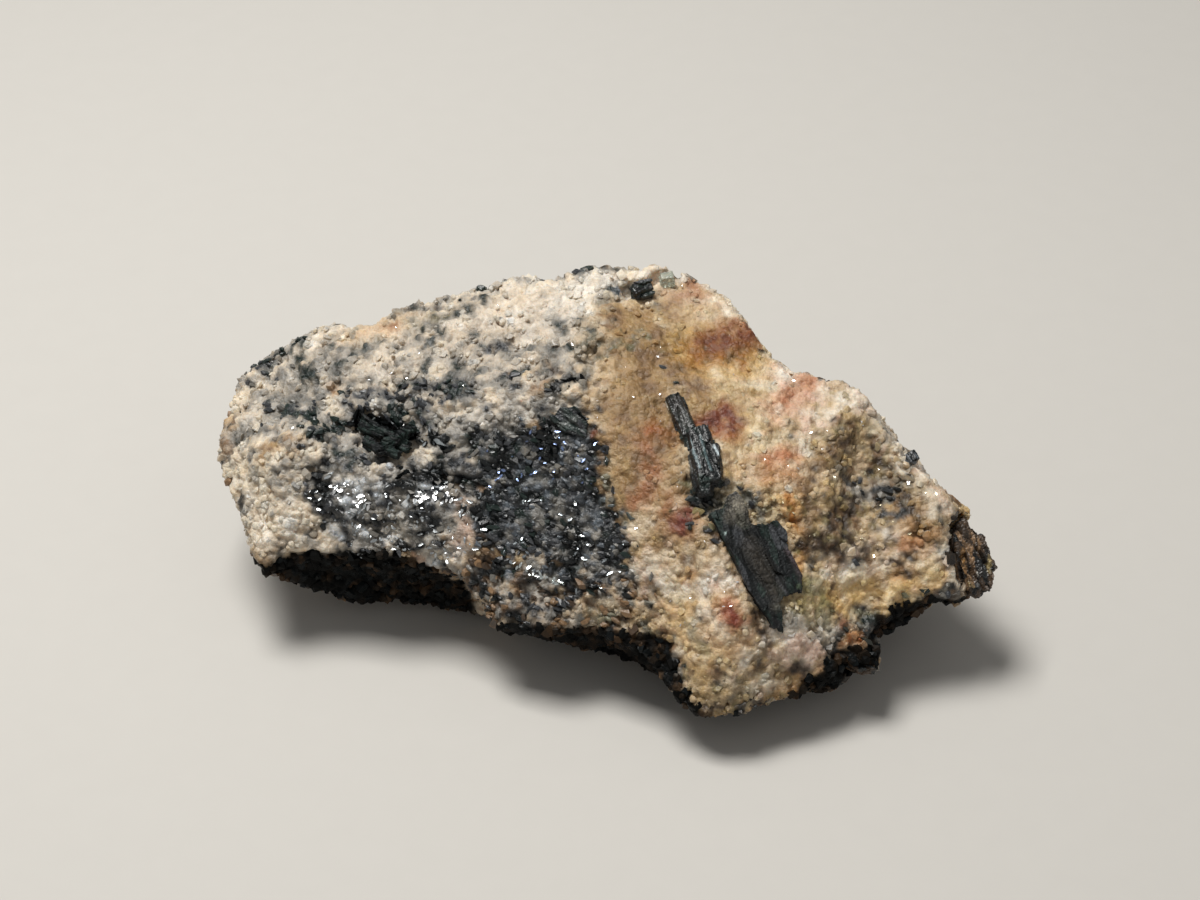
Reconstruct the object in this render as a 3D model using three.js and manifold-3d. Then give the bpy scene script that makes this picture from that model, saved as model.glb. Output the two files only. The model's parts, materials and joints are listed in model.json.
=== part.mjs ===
// Rough phenakite: a broken, unpolished piece of sugary, iron-stained rock with dark crystals grown in it.
// Millimetres, +Z up. The stone lies on its flat broken base, with the origin at the bottom centre of its
// box. The long way is X, and the steep dark face looks towards -Y.

import * as THREE from 'three';
import Module from 'manifold-3d';
import { mergeVertices } from 'three/addons/utils/BufferGeometryUtils.js';

const wasm = await Module();
wasm.setup();

// Driving dimensions. The places and heights below were surveyed on a stone of SURVEY_LENGTH, and the whole
// specimen is scaled from that to LENGTH.

const LENGTH = 29; // along X, left nub to right tip
const SURVEY_LENGTH = 29;
const ABOVE_ALL = 20; // a height clear of the stone, to look down on it from
const SOCKET_GAP = 0.3; // room between a crystal and the socket that the stone leaves for it
const COLUMNS = 128; // points round the stone
const TOP_RINGS = 21; // steps from the middle of the top to the rim
const WALL_RINGS = 8; // steps from the rim down to the base
const FULL_SHARE = 0.5; // rings inside this share of the rim have half its points
const HALF_SHARE = 0.22; // and inside this share a quarter
const CENTRE = new THREE.Vector3(0.5, -0.2, 0); // the middle of the rings in plan

// The rim, where the top of the stone turns over into its walls: x, y, z, anticlockwise from the left nub

const RIM = [
  ['left nub', -14.5, 1.8, 5.6],
  ['left side', -14.1, 0.2, 5.1],
  ['left side low', -13.2, -1.7, 4.5],
  ['left front corner', -12.6, -2.8, 4.0],
  ['left front', -11.4, -2.7, 4.3],
  ['cove left', -10.0, -2.5, 4.5],
  ['cove', -8.2, -2.6, 4.6],
  ['cove right', -6.9, -2.9, 4.5],
  ['step', -5.5, -3.6, 4.1],
  ['step low', -4.6, -4.5, 3.6],
  ['ledge corner', -4.0, -5.3, 3.1],
  ['ledge left', -2.2, -5.4, 3.3],
  ['ledge', -0.4, -5.6, 3.3],
  ['ledge right', 1.3, -6.0, 3.3],
  ['lobe root', 2.3, -6.7, 3.1],
  ['lobe side', 2.8, -7.7, 2.6],
  ['lobe left', 3.4, -8.5, 2.1],
  ['lobe bottom', 4.7, -8.9, 1.9],
  ['lobe bottom right', 5.9, -8.5, 2.0],
  ['lobe right', 7.3, -7.7, 2.2],
  ['under the flap', 8.9, -6.9, 2.5],
  ['flap', 9.8, -6.1, 3.0],
  ['notch', 9.7, -5.5, 3.5],
  ['right front', 11.0, -5.1, 3.8],
  ['right front outer', 12.5, -4.8, 4.0],
  ['tip low', 13.3, -4.4, 4.2],
  ['tip', 13.8, -3.4, 4.8],
  ['tip top', 13.7, -2.3, 5.4],
  ['right back low', 12.9, -2.0, 6.2],
  ['right back', 11.9, -1.3, 7.0],
  ['right back high', 10.8, 0.1, 7.8],
  ['shoulder right', 9.7, 1.8, 8.6],
  ['shoulder', 8.6, 2.3, 8.9],
  ['saddle', 7.3, 2.5, 9.1],
  ['fall low', 5.9, 3.8, 9.6],
  ['fall', 5.0, 5.4, 10.0],
  ['crest right', 3.6, 6.6, 10.3],
  ['crest', 1.0, 7.0, 10.5],
  ['crest left', -2.1, 6.9, 10.2],
  ['back left high', -5.0, 6.9, 9.5],
  ['back left', -7.1, 6.6, 9.0],
  ['dip', -8.9, 5.9, 8.5],
  ['back left low', -10.4, 6.3, 8.1],
  ['left back corner', -11.9, 6.1, 7.7],
  ['left shoulder', -13.2, 5.2, 7.0],
  ['left shoulder low', -13.9, 3.8, 6.3],
];

// Heights measured on the top, inside the rim: x, y, z

const SPOTS = [
  ['crest top', 0.1, 3.5, 10.1],
  ['crest middle', -0.3, 0.4, 9.5],
  ['crest low', 1.4, -2.5, 7.9],
  ['crest foot', 2.0, -4.7, 6.0],
  ['right plateau', 5.2, 2.7, 9.3],
  ['right plateau low', 7.3, -0.3, 8.4],
  ['prism head', 2.7, 0.3, 9.3],
  ['prism middle', 3.9, -2.5, 8.3],
  ['blade middle', 5.4, -5.0, 6.7],
  ['blade foot', 7.0, -6.4, 4.6],
  ['lobe crown', 4.1, -6.8, 5.0],
  ['lobe low', 4.3, -8.0, 3.2],
  ['facet wall', 8.0, -1.8, 7.6],
  ['facet floor', 10.0, -1.7, 6.6],
  ['facet low', 10.2, -3.5, 5.8],
  ['right band', 10.6, -4.6, 4.7],
  ['tip crown', 12.8, -3.6, 5.5],
  ['dark face top', -2.0, -0.8, 8.3],
  ['dark face middle', -1.6, -2.9, 6.3],
  ['dark face low', -2.2, -4.6, 4.4],
  ['glitter top', -6.3, -1.0, 7.5],
  ['glitter middle', -6.3, -2.0, 6.2],
  ['cove brow', -8.1, -2.3, 5.3],
  ['left lobe crown', -12.8, -0.3, 6.7],
  ['left lobe low', -11.8, -2.2, 5.2],
  ['left dip', -11.3, 2.4, 7.6],
  ['hollow side', -8.1, 2.2, 8.3],
  ['upper band', -7.5, 3.6, 8.7],
  ['upper middle', -3.8, 3.1, 9.5],
  ['upper left', -10.7, 4.1, 8.1],
];

// Hollows and ridges on the top, each a round-ended groove or rib: start, end, half width, height

const RELIEF = [
  ['black hollow', [-9.1, 0.9], [-6.9, 0.1], 0.9, -0.7],
  ['left trough', [-11.8, 4.6], [-11.0, 1.6], 0.8, -0.35],
  ['dark scoop', [-2.6, -1.9], [-0.6, -3.2], 1.6, -0.35],
  ['upper ridge', [-6.0, 1.6], [-1.2, 1.0], 0.7, 0.25],
  ['lens bed', [-2.0, 1.3], [-0.4, 1.5], 0.5, -0.2],
  ['facet step', [8.9, 0.6], [7.9, -3.9], 0.45, 0.35],
  ['facet hollow', [9.9, -0.9], [9.7, -3.2], 1.1, -0.3],
  ['flap groove', [8.3, -4.6], [9.7, -5.0], 0.5, -0.3],
  ['lobe cleft', [2.3, -5.4], [3.0, -7.2], 0.6, -0.1],
];

// Where the walls meet the base, in plan

const BASE = [
  [-9.3, 1.3], [-6.5, -1.2], [-1.5, -3.0], [3.5, -5.0], [6.5, -5.0], [9.8, -2.9],
  [11.2, -0.2], [9.0, 4.0], [4.5, 7.1], [-1, 7.8], [-6.5, 7.2], [-10.6, 4.8],
];
const BASE_LIFT = 0.5; // the outer part of the base stays clear of the ground
const FLAT_SHARE = 0.62; // of the base, the middle part that lies flat on the ground
const BASE_RINGS = [0.82, FLAT_SHARE, 0.42, 0.2]; // the rings of the base, as shares of its edge
const BASE_STEPS = 120; // points round the edge of the base
const ROUNDING = 60; // how many times over the innermost ring is rounded off
const FRONT_INSET = 1.0; // how far the front wall turns in under the rim
const FRONT_DROP = 2.3; // how far below the rim it does so
const LEAST_DROP = 0.8; // the least that a wall falls before it bulges
const FRONT_LOOK = -0.35; // a wall whose outward way has this y or less is a front wall
const BACK_LOOK = 0.5; // and one with this y or more is a back wall
const BACK_BULGE = 2.9; // how far the control point of the back wall stands out from the rim
const BACK_BULGE_HEIGHT = 5.0; // the height of that control point
const TOP_LOOK = 0.45; // a surface whose outward way has this z or more is top
const WALL_LOOK = 0.1; // and one that looks down this much is wall
const PLATE_REACH = 3; // how far off the stone a plate that follows it can begin
const SLOPE_REACH = 0.6; // how far to each side the slope under a crystal is measured

// Broken grain of the stone: lumps of three sizes, each with its height on the top and on the walls

const LUMPS = [
  { size: 4.6, onTop: 0, onWalls: 1.1, seed: 5 },
  { size: 2.4, onTop: 0.42, onWalls: 0.6, seed: 11 },
  { size: 1.3, onTop: 0.26, onWalls: 0.3, seed: 29 },
];

// Flat breaks that trim the walls: a point on each, and the way out of the stone across it

const BREAKS = [
  ['back left', [-9.5, 7.6, 4.5], [-0.3, 0.9, -0.3]],
  ['back middle', [1, 8.75, 6.2], [0.08, 0.97, 0.22]],
  ['back right', [6.6, 5.8, 4.6], [0.66, 0.74, 0.1]],
  ['back foot', [-1, 8.2, 2.6], [-0.1, 0.8, -0.6]],
  ['left end', [-13.2, 3.6, 4.0], [-0.8, 0.25, -0.55]],
  ['left foot', [-10.6, 1.5, 1.4], [-0.6, -0.1, -0.79]],
  ['right end', [12.4, 0.4, 4.4], [0.85, 0.5, -0.15]],
  ['right foot', [11.2, -2.2, 1.6], [0.6, -0.3, -0.74]],
];

// Seeded numbers from 0 to 1 for a cell of space, mixed with large odd numbers

const MIXERS = [374761393, 668265263, 2147483647, 1274126177];
const STIRRERS = [[13, 1103515245], [16, 2246822519], [15, 1]];

function cellValue(...cell) {
  const mixed = cell.reduce((sum, value, i) => sum ^ Math.imul(value, MIXERS[i]), 0);
  const stirred = STIRRERS.reduce((h, [shift, factor]) => Math.imul(h ^ (h >>> shift), factor), mixed);
  return (stirred >>> 0) / 2 ** 32;
}

// Lumpy noise: about 1/2 in the middle of each irregular cell and negative along the joins between cells

function lump(point, { size, seed }) {
  const p = point.clone().divideScalar(size);
  const base = [Math.floor(p.x), Math.floor(p.y), Math.floor(p.z)];
  let nearest = Infinity;
  for (let i = -1; i <= 1; i++) {
    for (let j = -1; j <= 1; j++) {
      for (let k = -1; k <= 1; k++) {
        const [cx, cy, cz] = [base[0] + i, base[1] + j, base[2] + k];
        const seedPoint = new THREE.Vector3(
          cx + cellValue(cx, cy, cz, seed),
          cy + cellValue(cx, cy, cz, seed + 1),
          cz + cellValue(cx, cy, cz, seed + 2),
        );
        nearest = Math.min(nearest, seedPoint.distanceTo(p));
      }
    }
  }
  const averageDistance = 0.55;
  return averageDistance - nearest;
}

// Solves a square set of linear equations

function solve(rows, right) {
  const n = rows.length;
  const a = rows.map((row, i) => [...row, right[i]]);
  for (let c = 0; c < n; c++) {
    let best = c;
    for (let r = c + 1; r < n; r++) {
      best = Math.abs(a[r][c]) > Math.abs(a[best][c]) ? r : best;
    }
    [a[c], a[best]] = [a[best], a[c]];
    for (let r = c + 1; r < n; r++) {
      const factor = a[r][c] / a[c][c];
      a[r] = a[r].map((value, k) => value - factor * a[c][k]);
    }
  }
  const x = new Array(n).fill(0);
  for (let r = n - 1; r >= 0; r--) {
    const known = x.reduce((sum, value, k) => sum + a[r][k] * value, 0);
    x[r] = (a[r][n] - known) / a[r][r];
  }
  return x;
}

// A thin springy plate bent through all the given heights

function thinPlate(points) {
  const n = points.length;
  const bend = (dx, dy) => {
    const d = dx * dx + dy * dy;
    return d > 0 ? d * Math.log(d) : 0;
  };
  const rows = [];
  for (let i = 0; i < n; i++) {
    const [, x, y] = points[i];
    rows.push([...points.map(([, u, v]) => bend(x - u, y - v)), 1, x, y]);
  }
  rows.push([...points.map(() => 1), 0, 0, 0]);
  rows.push([...points.map(([, u]) => u), 0, 0, 0]);
  rows.push([...points.map(([, , v]) => v), 0, 0, 0]);
  const weights = solve(rows, [...points.map(([, , , z]) => z), 0, 0, 0]);
  return (x, y) => {
    const tilt = weights[n] + weights[n + 1] * x + weights[n + 2] * y;
    return points.reduce((z, [, u, v], i) => z + weights[i] * bend(x - u, y - v), tilt);
  };
}

const plate = thinPlate([...RIM, ...SPOTS]);

// Height of the top at a place in plan, with its hollows and ridges

function topHeight(x, y) {
  let z = plate(x, y);
  for (const [, start, end, halfWidth, height] of RELIEF) {
    const line = new THREE.Line3(new THREE.Vector3(...start, 0), new THREE.Vector3(...end, 0));
    const at = new THREE.Vector3(x, y, 0);
    const away = line.closestPointToPoint(at, true, new THREE.Vector3()).distanceTo(at) / halfWidth;
    z += height * Math.exp(-away * away);
  }
  return z;
}

// Distance from the centre to the edge of the base in a given direction

const baseCorners = BASE.map(([x, y]) => new THREE.Vector3(x, y, 0));
const baseCurve = new THREE.CatmullRomCurve3(baseCorners, true, 'centripetal');
const baseLoop = baseCurve.getPoints(BASE_STEPS).map((p) => p.sub(CENTRE));

function baseReach(direction) {
  const agreement = (p) => p.dot(direction) / p.length();
  return baseLoop.reduce((best, p) => (agreement(p) > agreement(best) ? p : best)).length();
}

// A closed loop with its corners rounded off by averaging each point with its neighbours, so many times over

function rounded(loop, times) {
  let points = loop;
  for (let k = 0; k < times; k++) {
    points = points.map((p, i) => {
      const before = points[(i + loop.length - 1) % loop.length];
      const after = points[(i + 1) % loop.length];
      return p.clone().multiplyScalar(2).add(before).add(after).divideScalar(4);
    });
  }
  return points;
}

// How many points of the rim there are to one point of a ring

function sparing(s) {
  if (s > FULL_SHARE) return 1;
  return s > HALF_SHARE ? 2 : 4;
}

// Rings of points from the middle of the top, over the rim and down to the middle of the base. Inner rings are
// rounder than the rim, and have half or a quarter of its points, so that their triangles aren't slivers.

function stoneRings() {
  const corners = RIM.map(([, x, y, z]) => new THREE.Vector3(x, y, z));
  const rimCurve = new THREE.CatmullRomCurve3(corners, true, 'centripetal');
  const rim = rimCurve.getSpacedPoints(COLUMNS).slice(0, COLUMNS);
  const rings = [];
  for (let k = 1; k < TOP_RINGS; k++) {
    const s = k / TOP_RINGS;
    const loop = rounded(rim, Math.round(ROUNDING * (1 - s)));
    rings.push(loop.filter((p, i) => i % sparing(s) === 0).map((p) => {
      const { x, y } = new THREE.Vector3().lerpVectors(CENTRE, p, s);
      return new THREE.Vector3(x, y, topHeight(x, y));
    }));
  }
  rings.push(rim);
  const feet = rounded(rim, ROUNDING).map((p) => {
    const direction = new THREE.Vector3(p.x - CENTRE.x, p.y - CENTRE.y, 0).normalize();
    return direction.multiplyScalar(baseReach(direction)).add(CENTRE).setZ(BASE_LIFT);
  });
  for (let k = 1; k <= WALL_RINGS; k++) {
    rings.push(rim.map((p, i) => wallPoint(p, feet[i], outward(rim, i), k / WALL_RINGS)));
  }
  for (const s of BASE_RINGS) {
    rings.push(feet.filter((p, i) => i % sparing(s) === 0).map((p) => {
      const height = s > FLAT_SHARE ? BASE_LIFT / 3 : 0;
      return new THREE.Vector3().lerpVectors(CENTRE, p, s).setZ(height);
    }));
  }
  return rings;
}

// The way out of the stone in plan at a point of the rim

function outward(rim, i) {
  const before = rim[(i + rim.length - 2) % rim.length];
  const after = rim[(i + 2) % rim.length];
  return new THREE.Vector3(after.y - before.y, before.x - after.x, 0).normalize();
}

// A point of the wall: the front turns in under the rim, the back bulges out

function wallPoint(rim, foot, out, t) {
  const toBack = THREE.MathUtils.smoothstep(out.y, FRONT_LOOK, BACK_LOOK);
  const stand = THREE.MathUtils.lerp(-FRONT_INSET, BACK_BULGE, toBack);
  const frontHeight = Math.max(2 * BASE_LIFT, rim.z - FRONT_DROP);
  const backHeight = Math.min(rim.z - LEAST_DROP, BACK_BULGE_HEIGHT);
  const height = THREE.MathUtils.lerp(frontHeight, backHeight, toBack);
  const control = rim.clone().addScaledVector(out, stand);
  control.z = height;
  return new THREE.QuadraticBezierCurve3(rim, control, foot).getPoint(t);
}

// Closes rings into one surface with a point at each end

function closeRings(first, rings, last) {
  const positions = [first, ...rings.flat(), last];
  const starts = [];
  let next = 1;
  for (const ring of rings) {
    starts.push(next);
    next += ring.length;
  }
  const index = [];
  const top = rings[0].length;
  for (let i = 0; i < top; i++) index.push(0, starts[0] + i, starts[0] + ((i + 1) % top));
  for (let r = 0; r + 1 < rings.length; r++) {
    const [n, m] = [rings[r].length, rings[r + 1].length];
    const inner = (i) => starts[r] + (i % n);
    const outer = (i) => starts[r + 1] + (i % m);
    for (let i = 0; i < Math.min(n, m); i++) {
      if (n === m) {
        index.push(inner(i), outer(i), outer(i + 1), inner(i), outer(i + 1), inner(i + 1));
      } else if (n < m) {
        index.push(inner(i), outer(2 * i), outer(2 * i + 1));
        index.push(inner(i), outer(2 * i + 1), inner(i + 1));
        index.push(inner(i + 1), outer(2 * i + 1), outer(2 * i + 2));
      } else {
        index.push(outer(i), inner(2 * i + 1), inner(2 * i));
        index.push(outer(i), outer(i + 1), inner(2 * i + 1));
        index.push(outer(i + 1), inner(2 * i + 2), inner(2 * i + 1));
      }
    }
  }
  const end = rings.length - 1;
  const n = rings[end].length;
  for (let i = 0; i < n; i++) index.push(next, starts[end] + ((i + 1) % n), starts[end] + i);
  const geometry = new THREE.BufferGeometry();
  const numbers = positions.flatMap((p) => [p.x, p.y, p.z]);
  geometry.setAttribute('position', new THREE.Float32BufferAttribute(numbers, 3));
  geometry.setIndex(index);
  return geometry;
}

// The whole stone before its sockets are cut: rings closed up, then lumps pushed out along the normals

function stone() {
  const crown = new THREE.Vector3(CENTRE.x, CENTRE.y, topHeight(CENTRE.x, CENTRE.y));
  const geometry = closeRings(crown, stoneRings(), CENTRE);
  geometry.computeVertexNormals();
  const position = geometry.getAttribute('position');
  const normal = geometry.getAttribute('normal');
  for (let i = 0; i < position.count; i++) {
    const p = new THREE.Vector3().fromBufferAttribute(position, i);
    const out = new THREE.Vector3().fromBufferAttribute(normal, i);
    const rough = THREE.MathUtils.smoothstep(p.z, BASE_LIFT / 3, 2 * BASE_LIFT);
    const wall = THREE.MathUtils.smoothstep(-out.z, -TOP_LOOK, WALL_LOOK);
    const push = LUMPS.reduce((sum, size) => {
      return sum + lump(p, size) * THREE.MathUtils.lerp(size.onTop, size.onWalls, wall);
    }, 0);
    p.addScaledVector(out, rough * push);
    position.setXYZ(i, p.x, p.y, p.z);
  }
  geometry.deleteAttribute('normal');
  return geometry;
}

// Solids for cutting and joining

function toSolid(geometry) {
  const plain = geometry.clone();
  plain.deleteAttribute('normal');
  plain.deleteAttribute('uv');
  const merged = mergeVertices(plain, 1e-5);
  return new wasm.Manifold(new wasm.Mesh({
    numProp: 3,
    vertProperties: new Float32Array(merged.getAttribute('position').array),
    triVerts: new Uint32Array(merged.getIndex().array),
  }));
}

function toGeometry(solid) {
  const { vertProperties, triVerts } = solid.getMesh();
  const geometry = new THREE.BufferGeometry();
  geometry.setAttribute('position', new THREE.BufferAttribute(new Float32Array(vertProperties), 3));
  geometry.setIndex(new THREE.BufferAttribute(new Uint32Array(triVerts), 1));
  return geometry;
}

// Everything on the far side of a break

function beyond([, at, way]) {
  const size = 2 * SURVEY_LENGTH;
  const normal = new THREE.Vector3(...way).normalize();
  const block = new THREE.BoxGeometry(size, size, size).translate(0, 0, size / 2);
  const turn = new THREE.Quaternion().setFromUnitVectors(new THREE.Vector3(0, 0, 1), normal);
  return toSolid(block.applyQuaternion(turn).translate(...at));
}

// The stone's top above a place in plan, and the way up from it

const body = stone();
const bodyMesh = new THREE.Mesh(body, new THREE.MeshBasicMaterial());

function surfaceAt(x, y) {
  const ray = new THREE.Raycaster(new THREE.Vector3(x, y, ABOVE_ALL), new THREE.Vector3(0, 0, -1));
  return ray.intersectObject(bodyMesh)[0].point;
}

function upAt(x, y) {
  const east = surfaceAt(x + SLOPE_REACH, y).sub(surfaceAt(x - SLOPE_REACH, y));
  const north = surfaceAt(x, y + SLOPE_REACH).sub(surfaceAt(x, y - SLOPE_REACH));
  return new THREE.Vector3().crossVectors(east, north).normalize();
}

// The axes of a crystal from start to end: across it, up and along it

function axes(start, end, up) {
  const along = new THREE.Vector3().subVectors(end, start).normalize();
  const across = new THREE.Vector3().crossVectors(up, along).normalize();
  return { across, up: new THREE.Vector3().crossVectors(along, across), along };
}

// A prism from start to end: a worn six-sided section swept along it, tapering to its far end. extra grows it all
// round, which gives its socket.

const SECTION = [[-1, -0.35], [-0.55, -1], [0.6, -1], [1, -0.2], [0.7, 1], [-0.6, 0.9]];

function prism({ start, end, up, width, thickness, taper }, extra = 0) {
  const length = start.distanceTo(end) + 2 * extra;
  const [w, t] = [width / 2 + extra, thickness / 2 + extra];
  const outline = new THREE.Shape(SECTION.map(([x, y]) => new THREE.Vector2(x * w, y * t)));
  const geometry = new THREE.ExtrudeGeometry(outline, { depth: length, steps: 3, bevelEnabled: false });
  const position = geometry.getAttribute('position');
  for (let i = 0; i < position.count; i++) {
    const z = position.getZ(i);
    const size = THREE.MathUtils.lerp(1, taper, z / length);
    position.setXYZ(i, position.getX(i) * size, position.getY(i) * size, z - extra);
  }
  const frame = axes(start, end, up);
  const turn = new THREE.Matrix4().makeBasis(frame.across, frame.up, frame.along);
  return geometry.applyMatrix4(turn.setPosition(start));
}

// A prism bedded in the top, given by two places in plan and by how far it stands proud of the stone

function bedded({ from, to, proud, width, thickness, taper = 1 }) {
  const up = upAt((from[0] + to[0]) / 2, (from[1] + to[1]) / 2);
  const sink = proud - thickness / 2;
  const start = surfaceAt(...from).addScaledVector(up, sink);
  const end = surfaceAt(...to).addScaledVector(up, sink);
  return { make: prism, start, end, up, width, thickness, taper };
}

// An outline with every side moved out by the same distance, less at its sharpest corners

function grown(outline, distance) {
  return outline.map((p, i) => {
    const before = outline[(i + outline.length - 1) % outline.length];
    const after = outline[(i + 1) % outline.length];
    const sides = [p.clone().sub(before), after.clone().sub(p)];
    const [a, b] = sides.map((side) => new THREE.Vector2(side.y, -side.x).normalize());
    const corner = a.clone().add(b).normalize();
    return p.clone().addScaledVector(corner, distance / Math.max(0.6, corner.dot(a)));
  });
}

// A plate with an outline of its own, measured along and across the line from start to end. Its underside and its
// face are flat, or follow the stone if it is draped.

function plateCrystal({ start, end, up, outline, proud, thickness, draped }, extra = 0) {
  const frame = axes(start, end, up);
  const corners = outline.map(([along, across]) => new THREE.Vector2(along, across));
  const shape = new THREE.Shape(extra > 0 ? grown(corners, extra) : corners);
  const depth = thickness + 2 * extra;
  const geometry = new THREE.ExtrudeGeometry(shape, { depth, steps: 1, bevelEnabled: false });
  const position = geometry.getAttribute('position');
  for (let i = 0; i < position.count; i++) {
    const flat = start.clone()
      .addScaledVector(frame.along, position.getX(i))
      .addScaledVector(frame.across, position.getY(i));
    const bed = draped ? droppedOn(flat, frame.up) : flat;
    const p = bed.addScaledVector(frame.up, position.getZ(i) + proud - thickness - extra);
    position.setXYZ(i, p.x, p.y, p.z);
  }
  return geometry;
}

// The point of the stone that lies straight under or over a point, along a given way up

function droppedOn(p, up) {
  const from = p.clone().addScaledVector(up, PLATE_REACH);
  const ray = new THREE.Raycaster(from, up.clone().negate());
  const hit = ray.intersectObject(bodyMesh)[0];
  return hit ? hit.point : p;
}

// A plate bedded in the top, following it

function laid({ from, to, outline, proud, thickness }) {
  const up = upAt((from[0] + to[0]) / 2, (from[1] + to[1]) / 2);
  const [start, end] = [surfaceAt(...from), surfaceAt(...to)];
  return { make: plateCrystal, start, end, up, outline, proud, thickness, draped: true };
}

// A flat plate that stands out of the edge of the stone

function standing({ from, to, up, outline, thickness }) {
  return {
    make: plateCrystal,
    start: new THREE.Vector3(...from),
    end: new THREE.Vector3(...to),
    up: new THREE.Vector3(...up),
    outline,
    proud: thickness / 2,
    thickness,
    draped: false,
  };
}

// Outlines of the plates: along and across, anticlockwise seen from above

const BLADE_OUTLINE = [
  [0.35, -0.2], [1.65, -0.25], [2.65, -0.3], [3.35, -0.4], [4.1, -0.3], [4.65, -0.2], [5.0, -0.25], [5.35, 0.1],
  [4.8, 0.3], [4.35, 0.45], [4.2, 0.75], [4.4, 1.4], [3.85, 1.7], [2.8, 1.75], [2.2, 2.0], [1.7, 1.85],
  [1.6, 1.25], [1.35, 0.95], [0.9, 1.1], [0.45, 1.15], [0.05, 1.05], [0.1, 0.7], [0.4, 0.4],
];
const LENS_OUTLINE = [[0, 0], [0.6, -0.2], [1.6, 0], [1.25, 0.65], [0.6, 0.85], [0.1, 0.5]];
const TIP_OUTLINE = [[-0.3, 0], [0.2, -0.8], [1.3, -0.9], [2.4, -0.6], [2.6, 0.2], [1.7, 0.8], [0.5, 0.7]];
const LOWER_OUTLINE = [[-0.2, -0.4], [0.7, -0.5], [1.2, -0.1], [0.9, 0.5], [0, 0.6]];

const CRYSTALS = {
  dark_prism: {
    color: 0x2b3033,
    roughness: 0.35,
    parts: [
      bedded({ from: [2.66, 0.42], to: [3.25, -1.2], proud: 0.35, width: 0.74, thickness: 0.6 }),
      bedded({ from: [3.52, -1.0], to: [3.96, -3.15], proud: 0.5, width: 1.1, thickness: 0.85, taper: 1.08 }),
      bedded({ from: [3.95, -1.7], to: [4.08, -2.95], proud: 0.42, width: 0.8, thickness: 0.7, taper: 0.95 }),
      bedded({ from: [3.84, -3.0], to: [3.84, -3.45], proud: 0.42, width: 0.66, thickness: 0.7, taper: 0.8 }),
    ],
  },
  dark_blade: {
    color: 0x24282a,
    roughness: 0.4,
    parts: [laid({ from: [3.95, -3.65], to: [6.5, -6.85], outline: BLADE_OUTLINE, proud: 0.15, thickness: 0.55 })],
  },
  lens_crystal: {
    color: 0x2a2d2c,
    roughness: 0.4,
    parts: [laid({ from: [-1.8, -0.15], to: [-0.5, -0.9], outline: LENS_OUTLINE, proud: 0.12, thickness: 0.45 })],
  },
  hollow_crystals: {
    color: 0x1d2121,
    roughness: 0.35,
    parts: [
      bedded({ from: [-8.95, 1.2], to: [-7.1, -0.1], proud: 0.3, width: 0.6, thickness: 0.55, taper: 0.8 }),
      bedded({ from: [-8.35, -0.3], to: [-6.85, 0.5], proud: 0.32, width: 0.5, thickness: 0.5, taper: 0.8 }),
      bedded({ from: [-8.8, 0.4], to: [-7.45, -0.45], proud: 0.25, width: 0.5, thickness: 0.45, taper: 0.7 }),
    ],
  },
  rim_crystal: {
    color: 0x1c1e1f,
    roughness: 0.3,
    parts: [bedded({ from: [1.25, 5.6], to: [1.95, 5.9], proud: 0.4, width: 0.6, thickness: 0.7 })],
  },
  rim_grain: {
    color: 0x8f9a8b,
    roughness: 0.1,
    parts: [bedded({ from: [2.3, 6.3], to: [2.8, 6.4], proud: 0.3, width: 0.55, thickness: 0.6 })],
  },
  edge_crystal: {
    color: 0x1b2026,
    roughness: 0.3,
    parts: [bedded({ from: [11.45, -0.05], to: [11.65, -0.4], proud: 0.3, width: 0.35, thickness: 0.5 })],
  },
  tip_mica: {
    color: 0x4a3826,
    roughness: 0.5,
    parts: [
      standing({
        from: [13.4, -2.1, 5.1],
        to: [14.05, -4.1, 3.8],
        up: [0.5, -0.3, 0.7],
        outline: TIP_OUTLINE,
        thickness: 0.7,
      }),
    ],
  },
  lower_plate: {
    color: 0x262a26,
    roughness: 0.45,
    parts: [
      standing({
        from: [9.1, -6.0, 2.4],
        to: [10.0, -6.6, 2.3],
        up: [0.2, -0.2, 0.9],
        outline: LOWER_OUTLINE,
        thickness: 0.35,
      }),
    ],
  },
};

// The stone with a socket for every crystal, and the crystals in their sockets. Crumbs of stone that the sockets cut
// loose fall away.

const specimen = new THREE.Group();
let matrix = BREAKS.reduce((rest, cut) => rest.subtract(beyond(cut)), toSolid(body));
for (const [name, { color, roughness, parts }] of Object.entries(CRYSTALS)) {
  const solid = parts.map((part) => toSolid(part.make(part))).reduce((all, part) => all.add(part));
  for (const part of parts) {
    matrix = matrix.subtract(toSolid(part.make(part, SOCKET_GAP)));
  }
  const finish = new THREE.MeshStandardMaterial({ color, roughness, metalness: 0 });
  const mesh = new THREE.Mesh(toGeometry(solid), finish);
  mesh.name = name;
  specimen.add(mesh);
}
const [whole] = matrix.decompose().sort((a, b) => b.volume() - a.volume());
const stoneFinish = new THREE.MeshStandardMaterial({ color: 0xc3ab8e, roughness: 0.8, metalness: 0 });
const matrixMesh = new THREE.Mesh(toGeometry(whole), stoneFinish);
matrixMesh.name = 'matrix';
specimen.add(matrixMesh);
specimen.scale.setScalar(LENGTH / SURVEY_LENGTH);

export default specimen;
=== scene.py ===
# Rough phenakite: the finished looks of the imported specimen, a broken piece of sugary, iron-stained rock
# with dark crystals grown in it. Sizes are in metres, in the frame of the CAD model.

import json
import math

import bpy
import numpy as np
from bpy.props import FloatProperty, FloatVectorProperty, PointerProperty
from mathutils import Matrix, Vector, noise
from mathutils.bvhtree import BVHTree
from mathutils.kdtree import KDTree

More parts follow.
